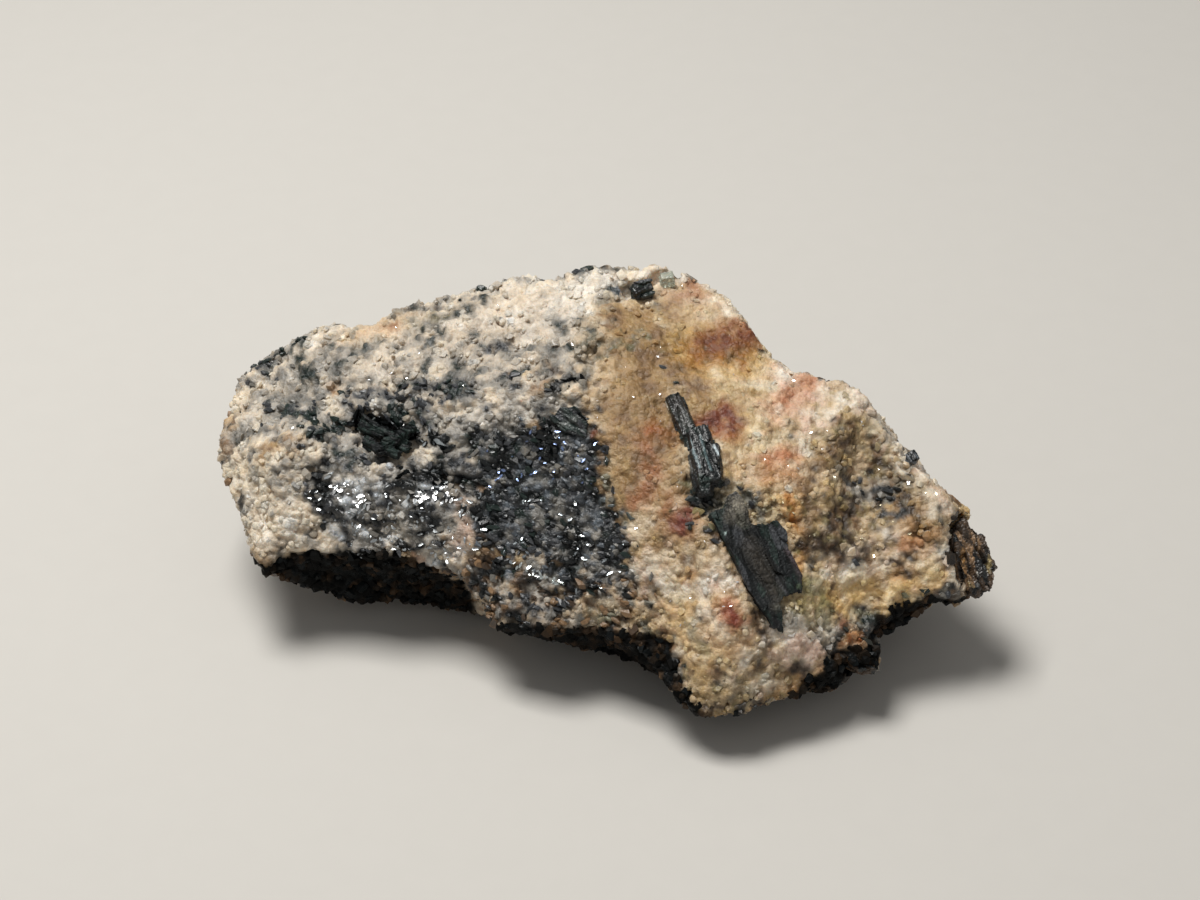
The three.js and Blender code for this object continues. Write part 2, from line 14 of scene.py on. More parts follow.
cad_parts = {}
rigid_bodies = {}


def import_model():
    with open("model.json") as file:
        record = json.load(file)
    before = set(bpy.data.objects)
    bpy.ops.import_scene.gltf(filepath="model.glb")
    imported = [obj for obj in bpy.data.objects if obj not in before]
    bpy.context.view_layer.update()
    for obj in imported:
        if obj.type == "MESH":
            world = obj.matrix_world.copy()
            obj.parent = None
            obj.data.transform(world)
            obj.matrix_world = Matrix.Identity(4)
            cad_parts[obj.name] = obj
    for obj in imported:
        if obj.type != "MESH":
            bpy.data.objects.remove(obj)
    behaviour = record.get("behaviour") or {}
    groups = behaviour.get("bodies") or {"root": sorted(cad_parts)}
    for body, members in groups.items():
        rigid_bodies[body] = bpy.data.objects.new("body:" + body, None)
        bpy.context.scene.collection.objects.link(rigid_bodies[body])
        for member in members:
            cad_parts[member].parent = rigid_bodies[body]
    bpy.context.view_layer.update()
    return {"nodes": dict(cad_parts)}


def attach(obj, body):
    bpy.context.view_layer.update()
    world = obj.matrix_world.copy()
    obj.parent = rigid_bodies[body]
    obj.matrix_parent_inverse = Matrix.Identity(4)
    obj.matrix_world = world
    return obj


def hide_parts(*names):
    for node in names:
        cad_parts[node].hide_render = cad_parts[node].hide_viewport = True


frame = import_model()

bl_info = {
    "name": "Rough mineral specimen",
    "version": (1, 0, 0),
    "blender": (4, 5, 0),
    "location": "3D View > Sidebar > Specimen",
    "description": "Finishes a broken piece of sugary, iron-stained rock with dark crystals grown in it",
    "category": "Add Mesh",
}

MM = 0.001

# The camera, at the photograph's viewing angle

PHOTO_WIDTH = 1200
PHOTO_HEIGHT = 900
LENS = 85.0  # millimetres
SENSOR = 36.0  # its width in millimetres
CAMERA_DISTANCE = 110.4 * MM
CAMERA_ELEVATION = math.radians(40)
CAMERA_TARGET = Vector((0, 3.8, 4.0)) * MM

# Sizes of the stone's skin and grain

VOXEL = 0.108 * MM  # of the remeshed skin
SKIN_SMOOTHING = 7  # rounds
SOCKET_GAP = 0.3 * MM  # the CAD model's room round a crystal
SOCKET_OVERLAP = 0.06 * MM  # how much wider than its socket a fill is
SEED_SPACING = 0.185 * MM  # one coloured spot of the skin
COARSE_GRAIN = 0.36 * MM
CLEAR_OF_CRYSTALS = 0.14 * MM  # grains of the stone begin this far from a crystal
MOST_TRIANGLES = 192000  # in the skin, which has to stay under 200,000
KEPT_DETAIL = 100.0  # how hard faces in sight resist being merged, next to those out of sight
MOST_GRAINS = 5600  # in one mesh, which keeps it under MOST_TRIANGLES too

# Which spots count as what

SEEN_FROM = -0.1  # the least that a spot seen by the camera faces it, as a cosine
FRONT_UP_TO = 0.3  # how far the way out of a spot at the front may lean back, along Y
SPARE_FROM = 0.3  # how far turned away, from 0 to 1, a point of the skin loses detail
PALE_FROM = 0.16  # the least lightness of a pale spot
SMOOTH_UP_TO = 0.6  # the most relief of a smooth rock

# How the spots are mixed

SURVEY_SEED = 7
BROAD_WAVES = (1.4 * MM, 0.35 * MM)  # size and reach of the waves in an area's edge
FINE_WAVES = (0.4 * MM, 0.14 * MM)
AREA_REACH = 1.2  # where an area ends, in radii
AREA_FRAY = 0.7  # how much nearer than that some of its spots end
STAIN_REACH = 1.25  # where a stain fades out, in radii
STAIN_UNSEEN = 0.3  # how strong stains are where the camera doesn't see them
HIDDEN_PATCH = 4.5 * MM  # size of the patches of rock on the hidden sides
OWN_COLOUR = 0.42  # share of a pale spot's own colour in its tint
NEIGHBOURS_COLOUR = 0.58  # share of its neighbours' colour

# The relief of the skin, as layers of broken facets: size, lift, slope, depth of the creases, seed. Lengths
# are in millimetres. The chips only cut into the side that is turned away from the camera.

RELIEF = (
    (0.5, 0.045, 0.2, 0.03, 3),
    (0.27, 0.025, 0.25, 0.03, 6),
    (1.3, 0.07, 0.1, 0.06, 5),
)
CHIPS = (
    (2.1, 0.12, 0.13, 0.12, 4),
    (3.1, 0.2, 0.12, 0.1, 8),
)
FLUSH_CHIP = 0.2 * MM  # a chip that stands this high is flush with the stone, and lower ones cut into it

# Minerals: colour, roughness

MINERALS = {
    "black": ("#131617", 0.3),
    "green black": ("#1c2724", 0.34),
    "charcoal": ("#35373a", 0.36),
    "steel": ("#545a60", 0.28),
    "smoke": ("#74716b", 0.38),
    "grey": ("#9b958c", 0.42),
    "ash": ("#bcb4a8", 0.42),
    "tan": ("#c3ab8c", 0.5),
    "cream": ("#ddcdb6", 0.5),
    "white": ("#e8dfd1", 0.38),
    "pink": ("#d8bba8", 0.5),
    "honey": ("#b79c70", 0.45),
    "ochre": ("#9f8058", 0.5),
    "rust": ("#8c4c28", 0.55),
    "brown": ("#7b6146", 0.5),
    "olive": ("#8d7f58", 0.45),
    "umber": ("#3d2f22", 0.45),
    "soot": ("#1f1913", 0.6),
    "pitch": ("#0b0b0a", 0.7),
    "silver": ("#d5dade", 0.2),
}

# Each kind of rock: how rough its relief is, and the shares of its minerals from dark to light

ROCKS = {
    "sugar": (0.9, {"green black": 3, "smoke": 5, "grey": 10, "ash": 20, "cream": 46, "white": 16}),
    "grey sugar": (1.0, {"green black": 6, "smoke": 13, "grey": 20, "ash": 22, "cream": 31, "white": 8}),
    "speckled": (1.0, {"green black": 12, "charcoal": 11, "smoke": 21, "grey": 25, "ash": 16, "cream": 15}),
    "grey rock": (0.9, {"black": 7, "charcoal": 13, "smoke": 28, "grey": 30, "ash": 22}),
    "dark rock": (0.9, {"black": 30, "green black": 10, "charcoal": 32, "steel": 14, "smoke": 14}),
    "glitter": (1.1, {"black": 18, "charcoal": 18, "smoke": 22, "grey": 18, "ash": 16, "silver": 8}),
    "brown rock": (0.7, {"umber": 8, "brown": 12, "olive": 15, "smoke": 6, "tan": 32, "honey": 27}),
    "low rock": (1.0, {"black": 7, "umber": 9, "brown": 20, "smoke": 24, "tan": 22, "ash": 18}),
    "cream rock": (0.8, {"smoke": 2, "grey": 5, "ash": 10, "tan": 7, "cream": 52, "white": 24}),
    "waxy rock": (0.5, {"tan": 11, "honey": 11, "pink": 20, "cream": 38, "white": 20}),
    "ochre rock": (0.45, {"brown": 16, "ochre": 44, "honey": 26, "tan": 10, "cream": 4}),
    "lobe rock": (0.6, {
        "umber": 3, "brown": 6, "ochre": 9, "honey": 16, "pink": 16, "cream": 28, "white": 22}),
    "hidden rock": (1.2, {"umber": 4, "smoke": 12, "grey": 16, "ochre": 6, "tan": 20, "cream": 42}),
    # Painted shade: darker rock for the faces that turn down
    "downturned rock in painted shade": (1.1, {"black": 8, "soot": 22, "umber": 26, "brown": 22, "smoke": 14, "ochre": 8}),
    # Painted shade: near-black rock for the spots in sight below the lit edge
    "rock in painted shade": (1.1, {"pitch": 40, "black": 28, "soot": 20, "umber": 12}),
}

SHARP_ROCKS = ("speckled", "grey rock", "dark rock", "glitter", "low rock")  # dark grains stand in these

# The lower edge of the lit rock, in pixels of the photograph from left to right. Below it the rock is painted
# dark, as painted shade.

BROW_WOBBLE = 4  # how far, in pixels, the edge wanders from this line
BROW = (
    (196, 480), (222, 510), (238, 545), (252, 558), (268, 562), (290, 556), (331, 552), (388, 552),
    (415, 559), (446, 575), (466, 586), (483, 622), (500, 626), (570, 626), (618, 630), (650, 630),
    (670, 642), (682, 686), (694, 706), (718, 717), (742, 714), (766, 710), (790, 698), (802, 685),
    (826, 660), (840, 650), (866, 650), (874, 614), (898, 604), (922, 596), (946, 598), (990, 596),
)

# Where each rock shows: name, rock, radius in millimetres, and a path in pixels of the photograph. Later ones
# lie over earlier ones.

AREAS = (
    ("upper band", "sugar", 2.3, ((330, 350), (430, 330), (540, 305), (620, 290))),
    ("left end", "grey sugar", 1.9, ((250, 430), (290, 395), (330, 370))),
    ("middle band", "grey sugar", 1.4, ((330, 390), (430, 375), (520, 350), (570, 345))),
    ("left lobe", "cream rock", 1.7, ((240, 470), (262, 505), (300, 520), (320, 545))),
    ("speckled strip", "speckled", 1.3, ((280, 415), (340, 435), (420, 440), (480, 440))),
    ("grey shoulder", "speckled", 0.9, ((350, 405), (420, 400), (500, 392), (535, 385))),
    ("grey tongue", "grey rock", 0.7, ((465, 425), (500, 425), (545, 405))),
    ("grey between", "speckled", 1.1, ((350, 470), (420, 462), (470, 468))),
    ("dark face", "dark rock", 1.5, ((512, 462), (560, 452), (592, 470))),
    ("dark face middle", "dark rock", 1.9, ((505, 510), (560, 520), (600, 525))),
    ("dark face foot", "dark rock", 0.9, ((500, 580), (560, 585), (600, 580))),
    ("ledge", "low rock", 1.3, ((450, 590), (500, 605), (560, 616), (640, 608))),
    ("step", "low rock", 1.0, ((430, 560), (470, 560))),
    ("step grains", "grey sugar", 0.4, ((456, 508), (466, 535))),
    ("glitter left", "glitter", 1.3, ((335, 500), (360, 515), (365, 545))),
    ("glitter right", "glitter", 1.4, ((400, 500), (430, 500), (425, 540))),
    ("ochre head", "ochre rock", 1.35, ((640, 322), (642, 370), (650, 410))),
    ("ochre body", "ochre rock", 1.5, ((628, 400), (636, 450), (642, 490))),
    ("ochre behind", "ochre rock", 1.6, ((690, 350), (710, 390), (745, 440))),
    ("right plateau", "waxy rock", 2.3, ((740, 350), (790, 395), (830, 410))),
    ("right plateau low", "waxy rock", 1.6, ((760, 450), (790, 475))),
    ("top right", "waxy rock", 1.2, ((660, 285), (700, 300), (725, 325))),
    ("beside the prism", "waxy rock", 1.1, ((655, 490), (660, 540))),
    ("front lobe", "lobe rock", 2.0, ((680, 560), (700, 610), (720, 660))),
    ("lobe foot", "brown rock", 1.0, ((700, 690), (740, 700), (800, 690))),
    ("lobe right", "lobe rock", 1.1, ((800, 645), (770, 670))),
    ("facet", "brown rock", 2.0, ((855, 450), (850, 500), (880, 530))),
    ("facet left", "brown rock", 0.9, ((832, 450), (824, 490), (824, 530), (836, 568))),
    ("crown", "ochre rock", 0.8, ((702, 350), (745, 345))),
    ("facet right", "brown rock", 1.5, ((910, 500), (925, 530))),
    ("facet grains", "grey rock", 0.5, ((860, 492), (900, 498))),
    ("edge strip", "waxy rock", 0.7, ((862, 405), (905, 455), (945, 510))),
    ("edge strip grey", "grey sugar", 0.4, ((878, 420), (902, 447))),
    ("lower band", "lobe rock", 1.2, ((820, 590), (880, 580), (945, 565))),
    ("band top", "waxy rock", 0.6, ((880, 548), (940, 545))),
    ("tip", "brown rock", 0.8, ((965, 535), (975, 575))),
)

# Stains that soak into whatever rock they cross, and some marks of painted shade, shadow and glint laid on
# the same way: name, colour, strength, radius in millimetres, pixels

STAINS_AND_PAINTED_LIGHT = (
    ("ochre veil", "#886b45", 0.68, 2.0, ((636, 330), (648, 400), (648, 470), (690, 520))),
    ("yellow veil", "#b4945c", 0.4, 2.0, ((700, 340), (740, 420), (770, 500))),
    ("crown glow", "#9c6a26", 0.55, 1.3, ((700, 352), (740, 346))),
    ("rust crown", "#6a3a14", 0.95, 0.7, ((705, 345), (722, 340), (748, 330))),
    ("rust crown foot", "#94581f", 0.6, 0.7, ((700, 355), (728, 358))),
    ("top right veil", "#a08056", 0.35, 0.9, ((672, 300), (715, 328))),
    ("rust rim", "#8d5a3a", 0.7, 0.35, ((697, 283), (702, 300))),
    ("dark streak", "#262521", 0.9, 0.2, ((551, 391), (566, 384), (582, 377))),
    ("rust by the rim", "#8a6248", 0.5, 0.4, ((674, 299), (690, 297))),
    ("pink ridge", "#a45a38", 0.6, 0.5, ((785, 395), (805, 385), (828, 378))),
    ("pink ridge foot", "#b98468", 0.4, 0.7, ((775, 410), (800, 400))),
    ("red beside the rod", "#683218", 0.95, 0.5, ((708, 422), (724, 408), (728, 425))),
    ("red behind the rod", "#90562c", 0.55, 0.5, ((716, 408), (733, 432))),
    ("rust left of the block", "#8a4a1e", 0.65, 0.45, ((652, 428), (668, 434))),
    ("rust streak", "#9c5836", 0.55, 0.5, ((645, 445), (650, 480), (636, 500))),
    ("pink patch", "#a45836", 0.6, 0.5, ((772, 456), (792, 452))),
    ("pink patch low", "#a87048", 0.5, 0.7, ((755, 470), (790, 475))),
    ("rust spot", "#642a12", 1.0, 0.36, ((680, 519), (685, 513))),
    ("rust round the spot", "#9a5a35", 0.5, 0.6, ((672, 510), (690, 522))),
    ("lobe rust", "#7c3418", 0.95, 0.4, ((728, 610), (734, 622))),
    ("lobe rust veil", "#9a6536", 0.4, 0.7, ((724, 608), (735, 640))),
    ("lobe brown", "#94602f", 0.35, 0.25, ((684, 575), (700, 570))),
    ("lobe honey", "#a87c40", 0.4, 0.8, ((676, 612), (695, 645), (712, 665))),
    ("orange vein", "#ad6524", 0.75, 0.3, ((786, 500), (792, 525), (797, 550), (800, 575))),
    ("yellow under the vein", "#b98c46", 0.5, 0.9, ((800, 590), (840, 605), (880, 598), (925, 582))),
    # Painted shade along the sunk border of the facet
    ("painted shade along the facet border", "#4e381d", 0.8, 0.3, ((850, 430), (822, 455), (806, 485), (803, 520), (808, 555))),
    ("facet top", "#6d5c38", 0.4, 0.7, ((845, 440), (865, 435))),
    ("facet right stain", "#8c5f34", 0.62, 0.65, ((900, 505), (925, 540))),
    ("facet shade", "#5b4c34", 0.2, 0.9, ((885, 480), (915, 500), (935, 525))),
    ("band spot left", "#a36a3a", 0.7, 0.3, ((897, 575), (903, 570))),
    ("band spot right", "#a8683c", 0.7, 0.3, ((905, 548), (912, 545))),
    ("flap", "#9a5626", 0.85, 0.32, ((846, 644), (866, 641))),
    ("seat of the lower plate", "#1a1612", 0.95, 0.3, ((834, 646), (828, 668), (842, 678))),
    ("flap red", "#7a3220", 0.5, 0.25, ((841, 624), (845, 630))),
    ("lobe edge", "#96602f", 0.5, 0.4, ((770, 700), (800, 685), (830, 665))),
    ("lobe olive", "#6d5b3b", 0.35, 0.7, ((712, 712), (745, 690), (765, 665))),
    ("tip dark", "#4a3521", 0.7, 0.6, ((965, 530), (978, 560), (972, 590))),
    ("orange left top", "#a86a45", 0.7, 0.3, ((385, 328), (395, 325))),
    ("brown left", "#7e5230", 0.8, 0.22, ((330, 380), (334, 388))),
    ("upper veil", "#a09282", 0.32, 2.4, ((350, 350), (430, 338), (535, 330))),
    ("tan left", "#c79a6c", 0.35, 0.7, ((350, 335), (410, 320))),
    ("grey left end", "#8d867c", 0.4, 1.2, ((262, 400), (300, 385))),
    ("brown streak end", "#7d5330", 0.7, 0.3, ((532, 393), (545, 386))),
    ("left lobe warm", "#c8b08c", 0.25, 1.0, ((238, 465), (262, 470))),
    ("step pink", "#b0907e", 0.6, 0.5, ((462, 510), (470, 525), (458, 545))),
    # A painted orange-red glint
    ("painted copper glint", "#a8502c", 0.9, 0.12, ((415, 557), (416, 560))),
    ("ledge warm", "#9c7d52", 0.5, 0.8, ((600, 620), (650, 625))),
    # Darker brown on the underside of the left lobe
    ("underside brown", "#5a4329", 0.6, 0.8, ((260, 565), (310, 572))),
    # A painted shadow below the end of the prism's block
    ("painted shadow under the block", "#14100d", 0.95, 0.28, ((696, 499), (706, 504), (714, 501))),
)

# Flecks of a single mineral, some of them painted shadow and glints: name, mineral, share of the grains,
# radius in millimetres, pixels

FLECKS_AND_PAINTED_LIGHT = (
    ("left back dark", "green black", 0.7, 0.38, ((297, 350), (304, 362), (309, 380))),
    ("left back dot", "green black", 0.7, 0.2, ((345, 357), (352, 355))),
    ("left back smoke", "smoke", 0.6, 0.45, ((292, 372), (300, 392), (318, 396))),
    ("left dots", "green black", 0.65, 0.22, ((288, 411), (305, 420), (325, 425), (347, 423))),
    ("left dots low", "green black", 0.5, 0.2, ((300, 426), (322, 436), (343, 431))),
    ("left crease", "smoke", 0.7, 0.25, ((236, 428), (256, 435), (278, 441))),
    ("nub brown", "brown", 0.5, 0.3, ((218, 430), (228, 450))),
    ("nub dark", "black", 0.8, 0.14, ((219, 457), (222, 460))),
    ("lobe side dark", "black", 0.8, 0.2, ((242, 498), (244, 506))),
    ("lobe dots", "smoke", 0.6, 0.3, ((282, 480), (292, 468), (312, 465))),
    ("lobe dots low", "charcoal", 0.5, 0.22, ((309, 497), (318, 510), (330, 505))),
    ("top dark a", "green black", 0.65, 0.3, ((421, 333), (436, 332), (433, 326))),
    ("top dark b", "green black", 0.6, 0.3, ((448, 315), (462, 308), (482, 300))),
    ("top olive", "olive", 0.5, 0.4, ((438, 312), (450, 320))),
    ("top dark c", "charcoal", 0.55, 0.3, ((489, 347), (500, 341), (514, 338))),
    ("top dot a", "green black", 0.7, 0.15, ((418, 367), (424, 364))),
    ("top dot b", "green black", 0.7, 0.13, ((380, 382), (383, 384))),
    ("top dot c", "smoke", 0.6, 0.2, ((397, 341), (402, 345))),
    ("top dot d", "black", 0.6, 0.1, ((577, 296), (579, 297))),
    ("top dot e", "black", 0.6, 0.1, ((556, 352), (558, 353))),
    ("top dot f", "smoke", 0.5, 0.2, ((594, 337), (590, 341))),
    ("bright crest", "white", 0.75, 0.45, ((528, 338), (545, 330))),
    ("bright top", "white", 0.5, 0.9, ((560, 300), (600, 285))),
    ("teal sliver", "green black", 0.85, 0.12, ((452, 380), (449, 393))),
    ("hollow wall", "charcoal", 0.4, 0.4, ((350, 398), (400, 392), (440, 398))),
    ("hollow dark", "black", 0.8, 0.42, ((362, 420), (392, 432), (410, 428))),
    ("hollow right", "black", 0.7, 0.3, ((418, 430), (432, 438), (444, 444))),
    ("hollow top piece", "green black", 0.8, 0.2, ((390, 408), (404, 410))),
    # A white glassy grain, its brightness a painted glint
    ("glassy grain with a painted glint by the hollow", "white", 0.8, 0.22, ((371, 399), (381, 402))),
    ("hollow pale", "ash", 0.8, 0.25, ((396, 443), (412, 446), (424, 449))),
    ("streak dark", "charcoal", 0.75, 0.24, ((552, 390), (566, 381), (583, 376))),
    ("streak umber", "umber", 0.6, 0.2, ((548, 375), (556, 372))),
    ("short streak", "charcoal", 0.7, 0.13, ((582, 411), (599, 409))),
    ("speck cluster", "black", 0.6, 0.18, ((622, 371), (628, 374), (633, 379))),
    ("speck cluster grey", "smoke", 0.5, 0.4, ((622, 345), (640, 333))),
    ("rim halo", "steel", 0.5, 0.3, ((620, 294), (634, 287))),
    ("crown speck a", "black", 0.9, 0.12, ((762, 346), (765, 349))),
    ("crown speck b", "umber", 0.8, 0.12, ((731, 322), (733, 324))),
    ("crown speck c", "black", 0.8, 0.08, ((779, 352), (780, 353))),
    ("blue band", "black", 0.75, 0.3, ((400, 476), (420, 477), (440, 479))),
    ("dark between", "charcoal", 0.6, 0.35, ((450, 462), (470, 458), (480, 470))),
    ("brown between", "brown", 0.7, 0.15, ((457, 455), (464, 452))),
    # Silver mica, made brighter as painted glitter
    ("silver mica with painted glitter a", "silver", 0.7, 0.3, ((347, 501), (355, 507))),
    ("silver mica with painted glitter b", "silver", 0.7, 0.32, ((424, 494), (436, 497))),
    ("silver mica with painted glitter c", "silver", 0.6, 0.22, ((338, 535), (345, 538))),
    ("silver mica with painted glitter d", "silver", 0.6, 0.2, ((388, 535), (396, 538))),
    ("pink grain", "ash", 0.9, 0.3, ((462, 512), (472, 506))),
    ("white grain", "white", 0.8, 0.18, ((459, 531), (461, 535))),
    ("silver streak a", "ash", 0.75, 0.15, ((511, 563), (524, 566), (534, 574))),
    ("silver streak b", "ash", 0.7, 0.15, ((546, 578), (562, 583))),
    ("dark face dots", "black", 0.7, 0.3, ((600, 538), (606, 548))),
    ("dark face grey", "smoke", 0.6, 0.35, ((560, 512), (572, 522))),
    ("dark face pale", "grey", 0.7, 0.2, ((592, 530), (597, 534))),
    ("ledge dark", "black", 0.7, 0.22, ((480, 592), (492, 596))),
    ("ledge dots", "charcoal", 0.6, 0.25, ((510, 598), (540, 618), (575, 600))),
    ("ledge pale a", "ash", 0.6, 0.25, ((530, 592), (545, 600))),
    ("ledge pale b", "ash", 0.6, 0.25, ((600, 604), (615, 612))),
    # Grey and black spots laid as painted shadow below the prism's block
    ("painted shadow under the prism", "smoke", 0.7, 0.35, ((716, 505), (730, 515), (742, 525))),
    ("painted shadow at the end of the block", "black", 0.8, 0.16, ((702, 500), (712, 500))),
    ("smoke right of the blade", "grey", 0.75, 0.4, ((808, 580), (818, 597), (824, 612))),
    ("smoke at the blade foot", "grey", 0.6, 0.35, ((778, 606), (795, 620))),
    ("green right of the blade", "olive", 0.5, 0.3, ((806, 600), (812, 620))),
    ("facet dark a", "black", 0.6, 0.2, ((858, 466), (868, 474))),
    ("facet dark b", "black", 0.6, 0.16, ((828, 514), (834, 517))),
    ("facet dark c", "umber", 0.5, 0.2, ((842, 522), (850, 518))),
    ("facet dark d", "charcoal", 0.7, 0.18, ((880, 516), (902, 514), (922, 517))),
    ("facet dark e", "black", 0.7, 0.16, ((866, 545), (872, 552))),
    ("facet dark f", "umber", 0.6, 0.2, ((815, 540), (822, 548))),
    ("facet dark g", "umber", 0.6, 0.2, ((900, 480), (908, 500))),
    ("facet smoke", "grey", 0.35, 0.45, ((875, 488), (895, 496))),
    ("facet mottle", "umber", 0.09, 1.5, ((835, 470), (850, 530), (905, 530))),
    ("facet mottle black", "black", 0.07, 1.3, ((850, 500), (880, 530), (910, 525))),
    # Silver mica, painted bright as a mirror-like glint
    ("mirror", "silver", 0.9, 0.12, ((904, 478), (906, 484))),
    ("band dots", "umber", 0.7, 0.1, ((871, 569), (873, 571))),
    ("band dots right", "umber", 0.6, 0.12, ((940, 540), (948, 552))),
    ("band white", "white", 0.7, 0.3, ((925, 560), (940, 556))),
    ("tip black", "black", 0.6, 0.3, ((968, 528), (980, 545), (985, 560))),
    ("tip foot black", "black", 0.7, 0.2, ((955, 590), (975, 596))),
    ("lobe speck a", "black", 0.9, 0.1, ((648, 608), (650, 610))),
    ("lobe speck b", "black", 0.8, 0.16, ((694, 614), (700, 620))),
    ("lobe smoke", "grey", 0.6, 0.3, ((692, 628), (700, 648))),
    ("lobe foot dark", "umber", 0.5, 0.22, ((708, 712), (726, 708))),
    ("lobe foot smoke", "grey", 0.4, 0.4, ((730, 680), (745, 672))),
    ("lobe white", "white", 0.7, 0.3, ((680, 590), (684, 598))),
    ("beside the blade white", "white", 0.4, 0.7, ((700, 555), (722, 590))),
    ("lobe white b", "white", 0.7, 0.3, ((752, 690), (766, 676))),
    ("lobe grain", "pink", 0.9, 0.4, ((800, 645), (812, 652))),
    ("lobe grain foot", "umber", 0.7, 0.2, ((790, 668), (806, 664))),
    ("rust speck prism", "rust", 0.7, 0.15, ((586, 438), (597, 440))),
    ("white beside the rod", "white", 0.9, 0.1, ((680, 383), (681, 384))),
)

DARKEST_STAIN = 0.015  # the least of any colour channel that a stain leaves
FLOW = (0.9, -0.3, -0.3)  # the way that the dark streaks run
SHARD_FORM = (2.2, 0.7, 0.6)  # a shard's length, width and thickness in sizes
FLAKE_FORM = (1.3, 0.55, 0.7)

# Clusters of small black crystals: name, share of the spots, size, depth in sizes, radius of the cluster,
# pixels. Sizes are in millimetres.

SHARDS = (
    ("hollow_shards", 0.9, 0.24, 0.0, 0.36, ((362, 422), (380, 430), (404, 438))),
    ("hollow_shards_right", 0.5, 0.2, 0.1, 0.3, ((412, 430), (430, 437), (444, 444))),
    ("streak_shards", 0.5, 0.17, 0.3, 0.16, ((550, 391), (566, 383), (582, 377))),
    ("lens_shards", 0.35, 0.16, 0.3, 0.14, ((552, 436), (566, 432), (580, 424))),
    ("band_shards", 0.6, 0.2, 0.1, 0.22, ((402, 474), (424, 476), (442, 479))),
)

# Mica flakes: name, colour, share of the spots, size and radius in millimetres, pixels

GLINTS = (
    ("glitter_flakes", "#c3c8ca", 0.3, 0.16, 1.3, ((340, 500), (365, 530), (420, 505), (450, 530))),
    ("bright_flakes", "#ffffff", 0.8, 0.2, 0.4, ((339, 500), (362, 500))),
    ("bright_flakes_right", "#ffffff", 0.8, 0.2, 0.4, ((422, 495), (446, 497))),
    ("blue_flakes", "#8497c2", 0.13, 0.15, 1.2, ((505, 465), (541, 445), (575, 458))),
    ("dark_face_flakes", "#aab2b6", 0.07, 0.15, 1.6, ((510, 520), (560, 530), (590, 550))),
    ("silver_flakes", "#dde4e2", 0.9, 0.2, 0.15, ((512, 563), (534, 573), (563, 583))),
    ("edge_mirror", "#ffffff", 0.9, 0.24, 0.12, ((904, 478), (906, 484))),
    ("facet_flakes", "#d9cfae", 0.03, 0.12, 2.0, ((830, 520), (870, 500), (920, 530))),
    ("pale_flakes", "#ffffff", 0.01, 0.08, 3.0, ((300, 440), (420, 350), (560, 320), (640, 420), (700, 600))),
    ("plateau_flakes", "#ffffff", 0.01, 0.08, 2.5, ((700, 330), (790, 400), (850, 560), (740, 640))),
)

# Marks on the crystals: name, colour, strength, radius in millimetres, pixels

PRISM_MARKS = (
    ("crumbly bright bit", "#c9c2b4", 0.9, 0.1, ((665, 403), (668, 410))),
    ("brown rod", "#2c2723", 0.7, 0.3, ((675, 398), (686, 424))),
    # Painted glints and sheen on the prism's stepped facets and stripes
    ("painted glint right", "#c3d0d4", 0.9, 0.06, ((714, 446), (719, 455))),
    ("painted glint left", "#8da0a4", 0.7, 0.05, ((690, 440), (700, 468))),
    ("painted sheen along the middle", "#6f8488", 0.6, 0.05, ((700, 436), (711, 470))),
    ("grey bulge", "#6b6a64", 0.7, 0.15, ((690, 470), (690, 492))),
    ("black foot", "#0c0e0f", 0.9, 0.25, ((702, 494), (712, 492))),
)
BLADE_MARKS = (
    ("see-through head", "#8f887a", 0.85, 0.4, ((722, 496), (738, 506))),
    ("head foot", "#5d584e", 0.6, 0.3, ((730, 516), (744, 522))),
    # Painted highlight: the bright line along the left edge
    ("painted highlight on the left edge", "#a3b4b0", 0.95, 0.05, ((713, 508), (725, 534))),
    ("purple right edge", "#463a3c", 0.7, 0.16, ((788, 550), (802, 580))),
    ("green corner", "#4d5a45", 0.8, 0.12, ((799, 586), (802, 593))),
    ("brown middle", "#3a342c", 0.6, 0.4, ((750, 545), (775, 590))),
    ("pale foot", "#5b574f", 0.6, 0.25, ((776, 606), (784, 628))),
)
LENS_MARKS = (
    ("black edge", "#0b0d0d", 0.9, 0.12, ((552, 440), (574, 436), (586, 418))),
    ("grey middle", "#565b57", 0.7, 0.15, ((558, 426), (576, 418))),
)
TIP_MARKS = (
    ("golden patch", "#9a7240", 0.8, 0.16, ((963, 552), (966, 568))),
    ("pale right edge", "#a8966a", 0.8, 0.09, ((989, 556), (991, 570))),
    ("pale foot", "#94805a", 0.8, 0.09, ((968, 583), (974, 588))),
    ("pink rim", "#b8988a", 0.8, 0.1, ((974, 522), (986, 526))),
    # Painted glints
    ("painted glint a", "#f1eee4", 0.95, 0.06, ((949, 568), (950, 570))),
    ("painted glint b", "#f1eee4", 0.95, 0.06, ((977, 573), (978, 575))),
    ("painted glint c", "#f1eee4", 0.95, 0.05, ((976, 549), (977, 551))),
    ("black fissure", "#0d0b09", 0.9, 0.08, ((958, 540), (962, 590))),
    ("black fissure right", "#0d0b09", 0.9, 0.08, ((975, 532), (979, 586))),
)

# The dark crystals: CAD node, voxel, long way, depth and width of the ribs, height and length of the broken
# steps, minerals, roughness, shine, marks. Lengths are in millimetres.

